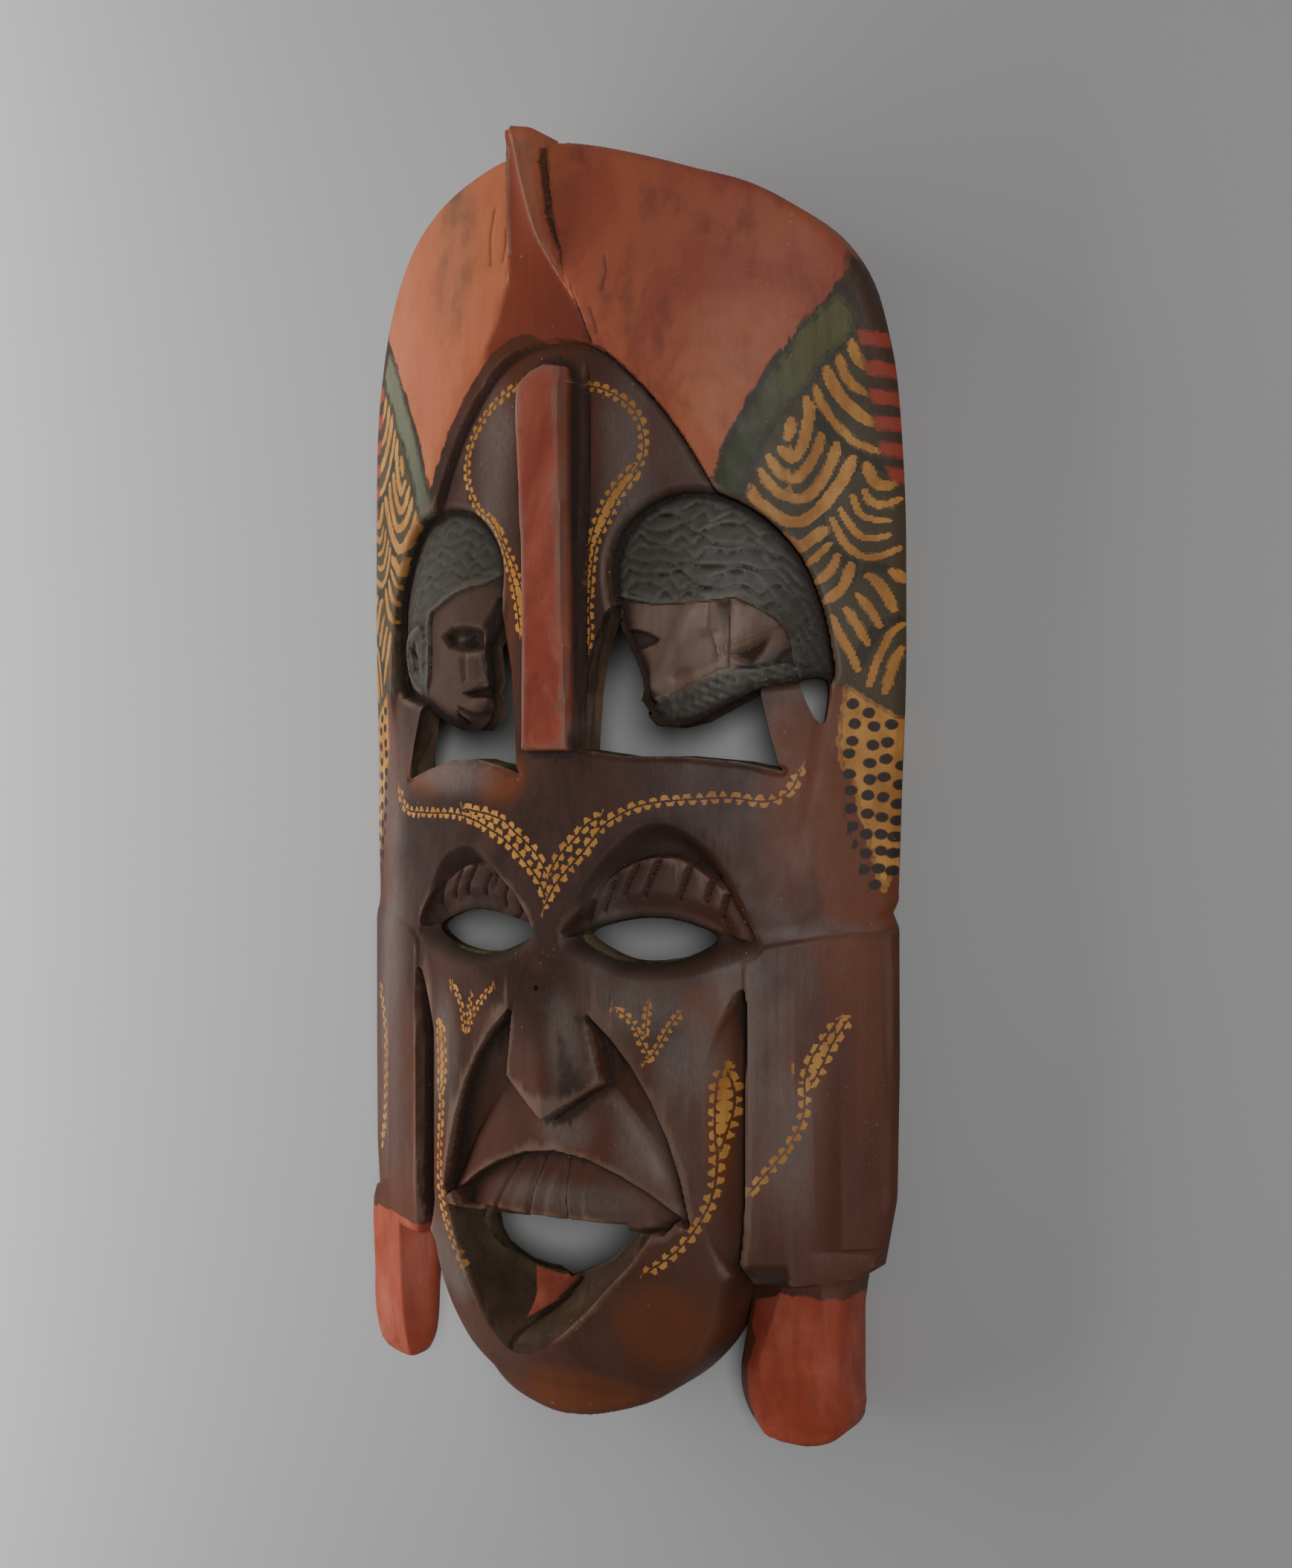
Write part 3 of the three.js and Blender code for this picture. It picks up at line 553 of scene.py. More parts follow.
def maskFront(x, y):
    h = logFront(x, y) + 0.35 * ripple(x, y * 0.5, 34, 1)
    h = carveForehead(carveCrest(h, x, y), x, y)
    h = h - 0.1 * ridgeAlong(templeCrease, np.abs(x), y, 2.2)
    for rim in plateRims:
        h = h - 1.4 * between(awayFrom(rim, x, y), 2.6 + 0.8 * ripple(x, y, 9, 5), 0.4)
    h = carveBar(h, x, y)
    for side in (1, -1):
        h = carveEar(h, x, y, side)
    for eye in eyes:
        h = carveEye(h, x, y, eye)
    h = carveMouth(carveMuzzle(h, x, y), x, y)
    for head in heads:
        h = carveHead(h, x, y, head)
    return h - roundOff(-signedTo(maskOutline, x, y), log["edgeRound"])


# The hollow behind, with the marks of the gouge

hollow = dict(
    arch=[(28, 222), (58, 211), (80, 198), (93.5, 180), (101.5, 152)],
    foot=[(103, 120), (103, -160), (66, -160), (50, -180), (38, -195), (18, -205)],
    gougeWidth=13.0, gougeLength=46.0, gougeDepth=0.9)
hollowSide = hollow["arch"] + hollow["foot"]
hollowOutline = hollowSide + mirrored(hollowSide)


def gougeMarks(x, y):
    column = x / hollow["gougeWidth"] + 0.15 * np.sin(y / 31)
    number = np.floor(column)
    stroke = y / hollow["gougeLength"] + cell(number, 1)
    acrossMark = 2 * np.modf(np.abs(column + 40))[0] - 1
    alongMark = 2 * np.modf(np.abs(stroke + 40))[0] - 1
    deep = 0.6 + 0.8 * cell(number + 7 * np.floor(stroke), 2)
    return (1 - acrossMark ** 2) * (0.6 + 0.4 * (1 - alongMark ** 4)) * deep


def hollowCeiling(x, y):
    thick = mix(log["wall"], log["chinWall"], between(-y, 105, 160) * (1 - between(np.abs(x), 50, 75)))
    rounding = 10 * (1 - between(-signedTo(hollowOutline, x, y, 60), 0, 24))
    plain = logFront(x, y) - thick - rounding
    return np.maximum(plain, 3) + hollow["gougeDepth"] * (gougeMarks(x, y) - 0.8)


# Ear plugs

plugs = [
    dict(side=1, outline=[(66, -165), (63.3, -182), (62, -195), (60.8, -206), (59.2, -214), (58.3, -222),
                          (60, -229), (64.5, -234.5), (72, -238), (81, -239.2), (90, -238.6), (98, -235.6),
                          (103, -231), (104.8, -225), (104.5, -214), (104.3, -190), (103, -165)],
         inner=(82, 71), outer=(98, 101), outerFall=0.8, top=37, under=9),
    dict(side=-1, outline=[(82, -163), (82.5, -203), (83.5, -219), (85.5, -226.5), (89, -231.5),
                           (95, -233.6), (104, -233.6), (110, -231.6), (113, -226.5), (113.4, -214),
                           (112.4, -200), (111, -163)],
         inner=(93, 92), outer=(94, 93), outerFall=0.35, top=38, under=22)]
plugForm = dict(innerFall=0.75, tipFall=7, edge=2.0)


def plugTop(plug, shape, x, y):
    down = np.clip((-178 - y) / 34, 0, 1)
    out = plug["side"] * x
    inward = np.maximum(mix(*plug["inner"], down) - out, 0) * plugForm["innerFall"]
    outward = np.maximum(out - mix(*plug["outer"], down), 0) * plug["outerFall"]
    tip = plugForm["tipFall"] * np.clip((-200 - y) / 35, 0, 1) ** 2
    return plug["top"] - inward - outward - tip - roundOff(-signedTo(shape, x, y), plugForm["edge"])


# Solids out of those heights

mesh = dict(grid=0.65, backGrid=1.6, plugGrid=0.8, keep=186000, detail=0.02)
nailHole = (-4, -69.5, 1.1)


def deselectAll():
    if bpy.context.mode != "OBJECT":
        bpy.ops.object.mode_set(mode="OBJECT")
    bpy.ops.object.select_all(action="DESELECT")


def pick(piece):
    deselectAll()
    piece.select_set(True)
    bpy.context.view_layer.objects.active = piece


def faceOutward():  # and leave edit mode
    bpy.ops.mesh.select_all(action="SELECT")
    bpy.ops.mesh.normals_make_consistent(inside=False)
    bpy.ops.object.mode_set(mode="OBJECT")


def meshPoints(piece):
    flat = np.empty(len(piece.data.vertices) * 3)
    piece.data.vertices.foreach_get("co", flat)
    return flat.reshape(-1, 3)


def setPoints(piece, points):
    piece.data.vertices.foreach_set("co", points.ravel())
    piece.data.update()


def reliefBlock(name, corners, front, step, bottom=-20.0, under=None):  # its top is a carved surface
    low = np.array(corners).min(axis=0) - 1.0
    high = np.array(corners).max(axis=0) + 1.0
    size = high - low
    deselectAll()
    columns, rows = (int(length / step) for length in size)
    bpy.ops.mesh.primitive_grid_add(x_subdivisions=columns, y_subdivisions=rows, size=1)
    piece = bpy.context.object
    piece.name = name
    bpy.ops.object.mode_set(mode="EDIT")
    bpy.ops.mesh.select_all(action="SELECT")
    bpy.ops.mesh.extrude_region_move(TRANSFORM_OT_translate={"value": (0, 0, 1)})
    faceOutward()
    points = meshPoints(piece)
    isTop = points[:, 2] > 0.5
    points[:, :2] = (points[:, :2] + 0.5) * size + low
    points[:, 2] = bottom
    points[isTop, 2] = front(points[isTop, 0], points[isTop, 1])
    if under is not None:
        points[~isTop, 2] = under(points[~isTop, 0], points[~isTop, 1])
    setPoints(piece, points)
    return piece


def column(name, corners, low=-60.0, high=150.0, slant=(0, 0), level=0.0, rings=()):
    n = len(corners)
    levels = [(low, 1, 1), (high, 1, 1)]  # height, and the widths and lengths there
    if rings:
        levels = [(low, *rings[0][1:])] + list(rings) + [(high, *rings[-1][1:])]
    vertices = [(x * sx + slant[0] * (z - level), y * sy + slant[1] * (z - level), z)
                for z, sx, sy in levels for x, y in corners]
    walls = [(i + k, (i + 1) % n + k, (i + 1) % n + n + k, i + n + k)
             for k in range(0, n * (len(levels) - 1), n) for i in range(n)]
    last = n * (len(levels) - 1)
    data = bpy.data.meshes.new(name)
    data.from_pydata(vertices, [], [tuple(range(n))[::-1], tuple(range(last, last + n))] + walls)
    piece = bpy.data.objects.new(name, data)
    bpy.context.collection.objects.link(piece)
    pick(piece)
    bpy.ops.object.mode_set(mode="EDIT")
    faceOutward()
    return piece


def combine(piece, tool, operation):
    pick(piece)
    boolean = piece.modifiers.new(operation.lower(), "BOOLEAN")
    boolean.operation = operation
    boolean.solver = "MANIFOLD"
    boolean.object = tool
    bpy.ops.object.modifier_apply(modifier=boolean.name)
    bpy.data.objects.remove(tool)
    return piece


def cutThrough(wood, name, corners, **form):
    combine(wood, column(name, corners, **form), "DIFFERENCE")


def addPlug(wood, plug):
    shape = onSide(curved(plug["outline"], 5, True), plug["side"])
    body = reliefBlock("plug", shape, lambda x, y: plugTop(plug, shape, x, y), mesh["plugGrid"],
                       under=lambda x, y: plug["under"] + roundOff(-signedTo(shape, x, y), 4.0))
    combine(body, column("plugColumn", shape), "INTERSECT")
    combine(wood, body, "UNION")


def carveMask():
    wood = reliefBlock("woodenMask", maskOutline, maskFront, mesh["grid"], bottom=0.0)
    combine(wood, column("outlineColumn", maskOutline, -5.0, rings=log["lean"]), "INTERSECT")
    combine(wood, column("foot", face["foot"], 0.0, face["footHeight"], slant=face["footSlant"]), "UNION")
    crestPiece = reliefBlock("crest", crestEnd, crestBlock, mesh["grid"], bottom=45.0)
    combine(crestPiece, column("crestColumn", crestEnd), "INTERSECT")
    combine(wood, crestPiece, "UNION")
    hollowCut = reliefBlock("hollowBlock", hollowOutline, hollowCeiling, mesh["backGrid"])
    combine(hollowCut, column("hollowColumn", hollowOutline), "INTERSECT")
    combine(wood, hollowCut, "DIFFERENCE")
    print("shell done", len(wood.data.polygons))
    for head in heads:
        cutThrough(wood, "window", head["window"])
    cutThrough(wood, "nape", curved(napeHole, 4, True), slant=napeSlant, level=napeLevel)
    for eye in eyes:
        cutThrough(wood, "eye", eye["slot"])
        cutThrough(wood, "eye", eye["slot"], slant=eyeForm["slant"], level=eyeForm["slantLevel"])
    cutThrough(wood, "mouth", face["opening"])
    cutThrough(wood, "throat", face["throat"], slant=face["throatSlant"], level=face["throatLevel"])
    x, y, radius = nailHole
    cutThrough(wood, "nail", [(x + radius * math.cos(turn), y + radius * math.sin(turn))
                              for turn in np.linspace(0, math.tau, 12, endpoint=False)])
    for plug in plugs:
        addPlug(wood, plug)
    return wood


wood = carveMask()
print("carving done", len(wood.data.polygons))

# Where the paint lies, on the viewer's right and the same on the left

hairEdge = [(103, 191), (100, 186.5), (95, 179.5), (90, 172.5), (85, 165), (80, 157), (75, 148), (70, 139),
            (66, 128), (63, 120)]
paint = dict(
    hair=[(-5, 262), (135, 262), (128, 215), (106, 195)] + hairEdge + [(60, 108), (-5, 108)],
    border=hairEdge + [(61, 110), (68, 104), (74, 112), (78.5, 126), (83, 136), (88, 144), (94, 151),
                       (98, 159), (102, 164), (108, 171), (110, 177), (107.5, 188)],
    green=[(102, 184.5), (98, 181), (92, 172), (86, 162), (80, 151.5), (76, 144), (73, 137), (68, 127),
           (64, 119), (65, 111), (70, 112), (74, 119), (77, 128), (81, 137), (86, 145), (92, 152),
           (96, 160), (100, 165), (106, 172), (107, 177), (105, 181)],
    panel=[(103, 190), (106, 196), (116, 196), (126, 190), (126, 30), (119, 32), (104.5, 43), (99, 44),
           (92, 60), (80, 88), (66, 108), (70, 116), (74, 119), (81, 137), (92, 152), (100, 165),
           (106, 172)],
    strip=[(107.5, 184), (108, 170), (110, 160), (111.5, 150), (113, 140), (114.5, 130), (117, 120),
           (119, 116), (127, 116), (127, 205), (104, 205), (104, 192)],
    band=[(104.5, 43), (119, 32), (126, 32), (126, -26), (118, -25), (115.7, -32), (114, -26), (113, -21),
          (111.5, -15), (111, -8), (109, -4), (108, 2), (107, 8), (103.5, 14), (102.5, 22), (103, 30),
          (104, 36)],
    side=[(94, 26), (92, 17), (92.5, 5), (94, -5), (95, -15), (96, -25), (98, -36), (99, -43), (126, -47),
          (126, 30), (104.5, 43), (96, 45)],
    feather=[(-34.5, 163.9), (-29.2, 168.9), (-22.7, 169.4), (-14.6, 168.3), (-7, 170.2), (0.9, 168.9),
             (3.1, 169.6), (7.2, 172.7), (12.5, 171.9), (16.6, 170.1), (19.7, 167.6), (24.6, 166.3),
             (24, 160), (0, 165), (-34, 157)])
strokes = [  # width and middle line of each ochre brush stroke on the side panel
    (1.8, [(95, 151.5), (97, 146), (100, 140), (104, 135), (108, 131), (114, 128.5)]),
    (3.0, [(98.5, 158), (101, 151), (105, 145), (109, 141), (113, 138.5)]),
    (2.0, [(102, 163), (104, 156), (107, 151.5), (111, 149)]),
    (2.5, [(105.5, 168.5), (107.5, 163), (110, 158.5)]),
    (3.0, [(88.3, 139), (87, 132.8)]),
    (2.5, [(92.5, 147), (93.5, 142), (92.5, 135), (91, 129), (88.5, 125.5), (86, 127.5), (84.5, 129)]),
    (2.2, [(97, 134), (96, 129), (93, 122.5), (89.5, 118), (86, 119), (83, 122.5), (81, 126)]),
    (2.2, [(101.5, 131), (100.5, 125), (97, 117), (93, 111.5), (88.5, 111), (84, 113), (80, 118),
           (78.5, 121)]),
    (3.2, [(106.5, 125.5), (104, 119), (100, 112), (96, 106.5), (91, 102.5), (86, 103), (80, 107.5),
           (76.5, 111), (75, 115)]),
    (2.8, [(110.5, 123.5), (112.5, 118), (115, 116), (119, 117)]),
    (1.8, [(110, 114), (112, 110), (115.5, 109), (120, 111.5)]),
    (1.2, [(106.5, 112), (108, 107), (111, 104), (117, 103.5)]),
    (1.5, [(103, 107), (106, 101), (109, 97.5), (113, 97), (117, 98)]),
    (1.5, [(100.5, 103.5), (103, 97), (106, 92.5), (110, 90), (115, 90.5), (120, 93.5)]),
    (3.5, [(85.5, 97.5), (88, 94.5), (91, 93.5), (95, 97), (98, 99.5)]),
    (1.5, [(99.5, 94.5), (96, 90), (92.5, 87)]), (2.0, [(102, 90.5), (100, 85), (95.5, 80.5)]),
    (2.5, [(106, 87), (104, 80), (101, 76), (98, 73.5)]),
    (2.5, [(111, 83), (113, 82), (116, 77), (118.5, 71)]), (2.0, [(108, 76), (111, 72), (114.5, 65)]),
    (2.0, [(104.5, 71), (108, 65), (111, 58.5)]), (1.8, [(100.5, 68), (103, 61), (106, 55), (108, 49)]),
    (3.0, [(118, 85), (121, 82)]), (1.5, [(121, 66), (117.5, 62), (115.5, 57), (113, 50), (111.5, 43.5)]),
    (2.0, [(120.5, 57), (118, 50), (116, 41)])]
gaps = [  # the darker lines between the families of strokes
    (3.4, [(94.9, 147.5), (95, 143.5), (98.3, 136.4), (103.5, 129.4), (108, 125.5), (102.9, 117.5),
           (97, 109.4), (96.3, 103), (97.6, 96.7), (101.6, 91.2), (107.4, 86.5), (118.9, 85.1)]),
    (3.2, [(107.5, 49), (110, 57), (113.9, 63.5), (120.2, 67.6)]),
    (3.0, [(97, 72.8), (103.6, 79.3), (107.4, 84.1)]), (3.0, [(108, 125), (113, 124.5), (119, 121.5)])]
stripes = [(4.2, [(100, y + 0.6), (112, y), (124, y - 0.8)])
           for y in (169.5, 158.5, 148.5, 139, 129.5, 120.5)]
dots = [(106.8, 36.5), (107.2, 29.3), (106.5, 23), (105.5, 18.5), (105.7, 11), (106, 5), (106, -1.5),
        (106.5, -8), (106.3, -14.5), (110.5, -18), (109.7, -24), (111.2, 33.3), (112.8, 28.2),
        (112.6, 21.4), (111.5, 15), (111.5, 9), (111, 3.2), (111, -3.5), (110.7, -11), (117.8, 29),
        (116.8, 22.5), (116.3, 16.5), (115.8, 9.8), (115.5, 2.6), (115.3, -4.8), (115, -11), (114.8, -17),
        (114.2, -23.5), (113.2, -29.5), (120.8, 14), (120.2, 7), (119.5, 0), (119.3, -6), (118.7, -12),
        (118.3, -18), (118, -24.5)]
dotRadius = 1.95
chains = [  # width of a row, distance between teeth, the side with a solid row, the line between the rows
    (2.3, 4.0, 0, [(20.3, -11.7), (23.9, -7.6), (28.2, -4.8), (35.2, -1.3), (42, 0.4), (48.6, 1.2),
                   (58, 1.9), (68, 2.3), (80, 1), (87, 5), (90, 12)]),
    (2.8, 4.6, 0, [(-0.1, -37.8), (3.2, -31.5), (8, -25.8), (12.7, -20.8), (16.5, -16.6), (20.3, -11.7)]),
    (2.6, 4.6, 0, [(1.6, -26), (4, -21.7), (7.3, -17.5), (12, -12.9), (15.8, -8.4), (20.3, -5.5)]),
    (2.3, 4.3, 0, [(-92, 3), (-89, -2.5), (-83, -4.8), (-67.3, -5.1), (-52.6, -4.9), (-43.1, -5.6)]),
    (2.8, 4.8, 0, [(-43.1, -5.6), (-34.4, -7.9), (-26.2, -11.3), (-20.4, -14), (-14.8, -18), (-8.6, -23.5),
                   (-3.4, -28.9), (-0.1, -35.7)]),
    (2.6, 4.8, 0, [(-42, -3), (-30.2, -4.6), (-21.3, -6.9), (-16.6, -10.3), (-9.4, -15.1), (-4.2, -19.9),
                   (0, -26)]),
    (2.2, 3.8, 0, [(14, 155), (22, 153), (30, 148), (35, 142), (37, 134), (36.5, 127), (33.9, 123)]),
    (2.0, 3.8, 1, [(33.8, 124.6), (26.1, 116.8), (20.3, 107.5), (16.6, 97.4), (15.1, 87.9), (14.3, 79.7)]),
    (2.0, 3.8, -1, [(34.2, 121.2), (28.3, 114), (24, 106), (20.7, 100), (18.1, 93.9), (17, 85.1),
                    (16.6, 78.2)]),
    (1.9, 3.8, 0, [(16.6, 78.2), (16.2, 71.4), (16.9, 64.5), (16.6, 59)]),
    (2.2, 3.8, 0, [(-17, 158), (-25, 154), (-34, 147.5), (-41, 139), (-43.5, 130), (-42, 121), (-37, 113),
                   (-33.1, 110.5)]),
    (2.0, 3.8, 1, [(-33.1, 110.5), (-28, 105.8), (-24, 98.4), (-21.2, 91.2), (-18.4, 84), (-16.5, 76.9),
                   (-15.1, 69.8), (-14.7, 66.2)]),
    (2.0, 3.8, -1, [(-25, 103.5), (-22.1, 97.6), (-18.8, 91.7), (-16, 85.9), (-13.8, 80.2)]),
    (2.0, 4.4, 1, [(65.4, -96), (64, -101), (63.4, -107), (63.2, -113.7), (63.3, -121.8), (63.8, -127)]),
    (2.0, 4.4, -1, [(66.4, -98.6), (67.4, -103.2), (67.8, -108), (67.4, -113.8), (66, -120.8),
                    (64.6, -127)]),
    (2.3, 4.6, 0, [(64, -127), (63.7, -134), (63, -141), (60.4, -149.5), (54.6, -159.2), (47.5, -166.5),
                   (40, -172)]),
    (2.2, 4.6, 1, [(103, -78.5), (99.4, -84.6), (96.8, -88.6), (94.9, -92.6), (93.5, -96.7),
                   (92.7, -101.4)]),
    (2.2, 4.6, -1, [(105.5, -79), (102.4, -84.6), (100.2, -89.3), (98.5, -94.1), (96.9, -97.8),
                    (95.2, -101.1)]),
    (2.2, 4.6, 0, [(92.7, -101.4), (92.9, -108.2), (92.2, -114), (90.5, -119), (87, -126), (82, -133),
                   (76, -141)]),
    (2.0, 4.0, 1, [(-58.3, -88), (-57.6, -98), (-57.4, -106), (-57.6, -114)]),
    (2.0, 4.0, -1, [(-55.6, -89), (-54.4, -98), (-54.3, -106), (-55.4, -113)]),
    (2.2, 4.0, 0, [(-56.5, -114), (-56.4, -122), (-58, -140), (-57, -155), (-54, -166), (-47, -182)]),
    (2.2, 4.4, 0, [(-111, -80), (-106, -92), (-104, -105), (-104.5, -120), (-106, -135), (-110, -146)]),
    (1.9, 3.1, 0, [(51.9, -76.4), (48.6, -81.4), (45.4, -87), (42.8, -91.4), (41.3, -93)]),
    (1.7, 3.1, 0, [(41, -72.9), (40.4, -78.4), (39.9, -84)]),
    (1.9, 3.1, 0, [(29.9, -76.1), (33.5, -78.7), (36.3, -82.4), (38.8, -87.8), (40.8, -92)]),
    (1.7, 3.3, 0, [(-47.4, -73.1), (-44.6, -76.9), (-42.8, -81.9), (-41.3, -88.2)]),
    (1.5, 3.1, 0, [(-37.7, -74.2), (-38.5, -79.7), (-39.5, -84)]),
    (1.7, 3.3, 0, [(-27.1, -71.3), (-32.4, -76.6), (-36.2, -81.8), (-40.1, -88.8)])]

tints = dict(  # middle, width and height of the places where the wood is redder, or dustier and greyer with a painted sheen
    warmth=[(97, -128, 24, 34), (90, -2, 16, 34), (-22, 10, 14, 10), (45, -195, 28, 22), (0, -228, 40, 14),
            (104, -62, 16, 20), (66, -110, 8, 40), (-28, 60, 12, 40), (-70, 12, 20, 12), (58, -75, 9, 10),
            (88, 20, 10, 22)],
    dustAndSheen=[(40, -128, 15, 18), (4, -122, 14, 10), (36, -74, 24, 13), (-52, 10, 26, 8), (-98, -70, 14, 60),
          (-100, 0, 14, 40), (22, -50, 10, 20), (74, -62, 14, 10), (-60, -180, 12, 20),
          (55, -95, 14, 14), (88, -47, 15, 2.6), (106, -44, 14, 2.6), (-98, -100, 16, 60), (8, -88, 7, 18),
          (-27, 130, 12, 34), (30, 128, 12, 30), (-54, -100, 9, 28), (-52, -188, 9, 16), (2, -149, 34, 7),
          (92, -130, 16, 30)])


def brushed(lines, x, y):  # distance from the edge of the nearest brush line, which thins out at its ends
    found = np.full(x.shape, 20.0)
    for width, line in lines:
        through = curved(line, 3)
        length = sum(math.dist(a, b) for a, b in zip(through, through[1:]))
        away, along, _ = distanceTo(through, x, y, reach=8)
        half = width / 2 * (0.55 + 0.45 * np.clip(np.minimum(along, length - along) / 3.0, 0, 1))
        found = np.minimum(found, away - half)
    return found


def nearestChain(x, y):  # which chain, and how far outside it
    closest, best = np.full(x.shape, -1), np.full(x.shape, 2.0)
    for k, (width, _, _, line) in enumerate(chains):
        away = awayFrom(curved(line, 5), x, y)
        closest = np.where(away - width < best, k, closest)
        best = np.minimum(best, away - width)
    return closest, best


def markChains(piece):  # along in teeth and across in rows, by each face's own chain
    vertexOf = np.empty(len(piece.data.loops), np.int32)
    piece.data.loops.foreach_get("vertex_index", vertexOf)
    count = np.empty(len(piece.data.polygons), np.int32)
    piece.data.polygons.foreach_get("loop_total", count)
    faceOf = np.repeat(np.arange(len(count)), count)
    x, y = meshPoints(piece)[vertexOf, :2].T
    closest, _ = nearestChain(np.bincount(faceOf, x) / count, np.bincount(faceOf, y) / count)
    along, across, solid = np.zeros(x.shape), np.full(x.shape, 9.0), np.zeros(x.shape)
    for k, (width, pitch, inner, line) in enumerate(chains):
        mine = closest[faceOf] == k
        _, s, t = distanceTo(curved(line, 5), x[mine], y[mine])
        along[mine], across[mine], solid[mine] = s / pitch + 40 * k, t / width, inner
    for name, values in (("chainAlong", along), ("chainAcross", across), ("chainSolid", solid)):
        addAttribute(piece, name, values, "CORNER")


# Thin the mesh where the carving is smooth and nothing is painted


def fineDetail(piece):  # how much each place needs its points, from 0 to 1
    x, y, z = meshPoints(piece).T
    side = np.abs(x)
    lines = np.minimum(brushed(strokes, side, y), brushed(stripes, side, y))
    band, strip, green = (signedTo(paint[name], side, y) for name in ("band", "strip", "green"))
    needs = [(0.25, nearestChain(x, y)[1] < 0.6), (0.9, lines < 0.8), (0.9, band < 5), (0.9, strip < 1),
             (0.5, np.abs(green) < 1.5)]
    needs += [(0.12, signedTo(head["outline"], x, y) < 1) for head in heads]
    need = np.maximum.reduce([share * places for share, places in needs])
    return np.where(z > logFront(x, y) - 14, need, 0)


def thinOut(piece, keep):
    need = fineDetail(piece)
    group = piece.vertex_groups.new(name="detail")
    for level in np.unique(need[need > 0]):
        group.add([int(i) for i in np.flatnonzero(need == level)], float(level), "REPLACE")
    triangles = sum(len(p.vertices) - 2 for p in piece.data.polygons)
    pick(piece)
    thin = piece.modifiers.new("thin", "DECIMATE")
    thin.ratio = min(1.0, keep / triangles)
    thin.vertex_group = group.name
    thin.invert_vertex_group = True
    thin.vertex_group_factor = mesh["detail"]
    bpy.ops.object.modifier_apply(modifier=thin.name)
    piece.vertex_groups.clear()
    print("triangles", triangles, "to", sum(len(p.vertices) - 2 for p in piece.data.polygons))


thinOut(wood, mesh["keep"])


def addAttribute(piece, name, values, domain="POINT"):
    layer = piece.data.attributes.new(name, "FLOAT", domain)
    layer.data.foreach_set("value", values.astype(np.float32))


def blurred(grid, reach):
    for axis in (0, 1):
        padded = np.pad(grid, [(reach, reach) if a == axis else (0, 0) for a in (0, 1)], mode="edge")
        total = np.cumsum(np.insert(padded, 0, 0, axis=axis), axis=axis)
        grid = (np.take(total, range(2 * reach + 1, total.shape[axis]), axis=axis)
                - np.take(total, range(0, total.shape[axis] - 2 * reach - 1), axis=axis)) / (2 * reach + 1)
    return grid


def sampled(grid, x, y, low):  # the grid's value at any place, its cells 1 mm wide
    gx = np.clip(x - low[0], 0, grid.shape[1] - 1.001)
    gy = np.clip(y - low[1], 0, grid.shape[0] - 1.001)
    ix, iy = gx.astype(int), gy.astype(int)
    fx, fy = gx - ix, gy - iy
    lower = mix(grid[iy, ix], grid[iy, ix + 1], fx)
    return mix(lower, mix(grid[iy + 1, ix], grid[iy + 1, ix + 1], fx), fy)


shadePlaces = [  # strength, softness and corners of the places painted dark, most of them as painted shade
    (0.85, 1.6, onSide(youngSocket, -1)), (0.85, 1.6, onSide(youngNick, -1)),
    (0.85, 1.6, [(-49.5, 42.2), (-42, 44.2), (-30, 44.4), (-34.5, 40.2), (-44, 40.2)]),
    (0.85, 1.6, [(-26, 79), (-28.5, 78.5), (-36.8, 68.4), (-35.8, 57.6), (-35, 45), (-35, 38), (-20, 38),
                 (-20, 79)]),
    # under the right ear's foot: the darker bare wood there, with painted shade under the ear's edge
    (0.8, 1.2, [(73, -169), (87, -169), (88, -177.5), (66, -177.5)]),
    (0.75, 1.4, [(5, -82), (11, -93.6), (17, -107.3), (11.5, -112.5), (6.5, -108), (6.5, -94)]),
    (0.4, 7.0, [(-88, 6), (-60, 8), (-40, 2), (-50, -18), (-72, -30), (-88, -34)]),
    (0.45, 6.0, [(-37, -86.8), (-41, -114), (-61, -134), (-70, -135), (-58, -110)]),
    (0.3, 4.0, [(-47, -157), (-30, -143), (-10, -137), (12, -139), (30, -148), (42, -157)]),
    (0.25, 9.0, [(84, 96), (104, 70), (104, 42), (88, 42), (72, 60)])]


def shadeOver(x, y):  # 1 where shade is painted: along the ear's groove, under the cheek's edge, round the eye slots and in the sockets, in the crest's cracks and at the dark places
    side = np.abs(x)
    alongEar = bell(side - 72.2, 1.6) * between(-y, 62, 80) * between(y, -174, -166)
    underCheek = between(awayFrom(cheekEdge, side, y), 7, 1.5)
    underCheek = underCheek * between(signedTo(muzzleOutline, x, y), 0.5, -0.5)
    shade = [0.85 * alongEar, 0.8 * underCheek]
    for eye in eyes:
        socket, lid, slot = (signedTo(eye[edge], x, y) for edge in ("socket", "lid", "slot"))
        shade.append(between(slot, mix(3.6, 7.5, between(-y, 46, 53)), 0.5) * between(socket, 1.5, -1.5))
        shade.append(0.4 * between(np.maximum(socket, -lid), 0.5, -3.5))
    shade += [0.5 * ridgeAlong(line, x, y, 0.6) for line in crest["cracks"]]
    shade += [strength * facetOver(corners, x, y, soft) for strength, soft, corners in shadePlaces]
    return np.maximum.reduce(shade)


def headZones(x, y):  # the hair and the skin of the small heads
    locks, skin = [], []
    for head in heads:
        shape = signedTo(head["outline"], x, y)
        bare = np.maximum(signedTo(onSide(head["face"], head["side"]), x, y), shape)
        if "beard" in head:
            fromBeard = y - (33.5 + 0.42 * (x - 40)) - 4.7
            bare = np.maximum(bare, -np.maximum(np.maximum(fromBeard, 40 - x), bare))
        neck = np.maximum(np.maximum(y - 44, 74 - head["side"] * x), shape)
        skin.append(np.minimum(bare, neck))
        locks.append(np.maximum(shape, -bare))
    return nearest(locks), nearest(skin)


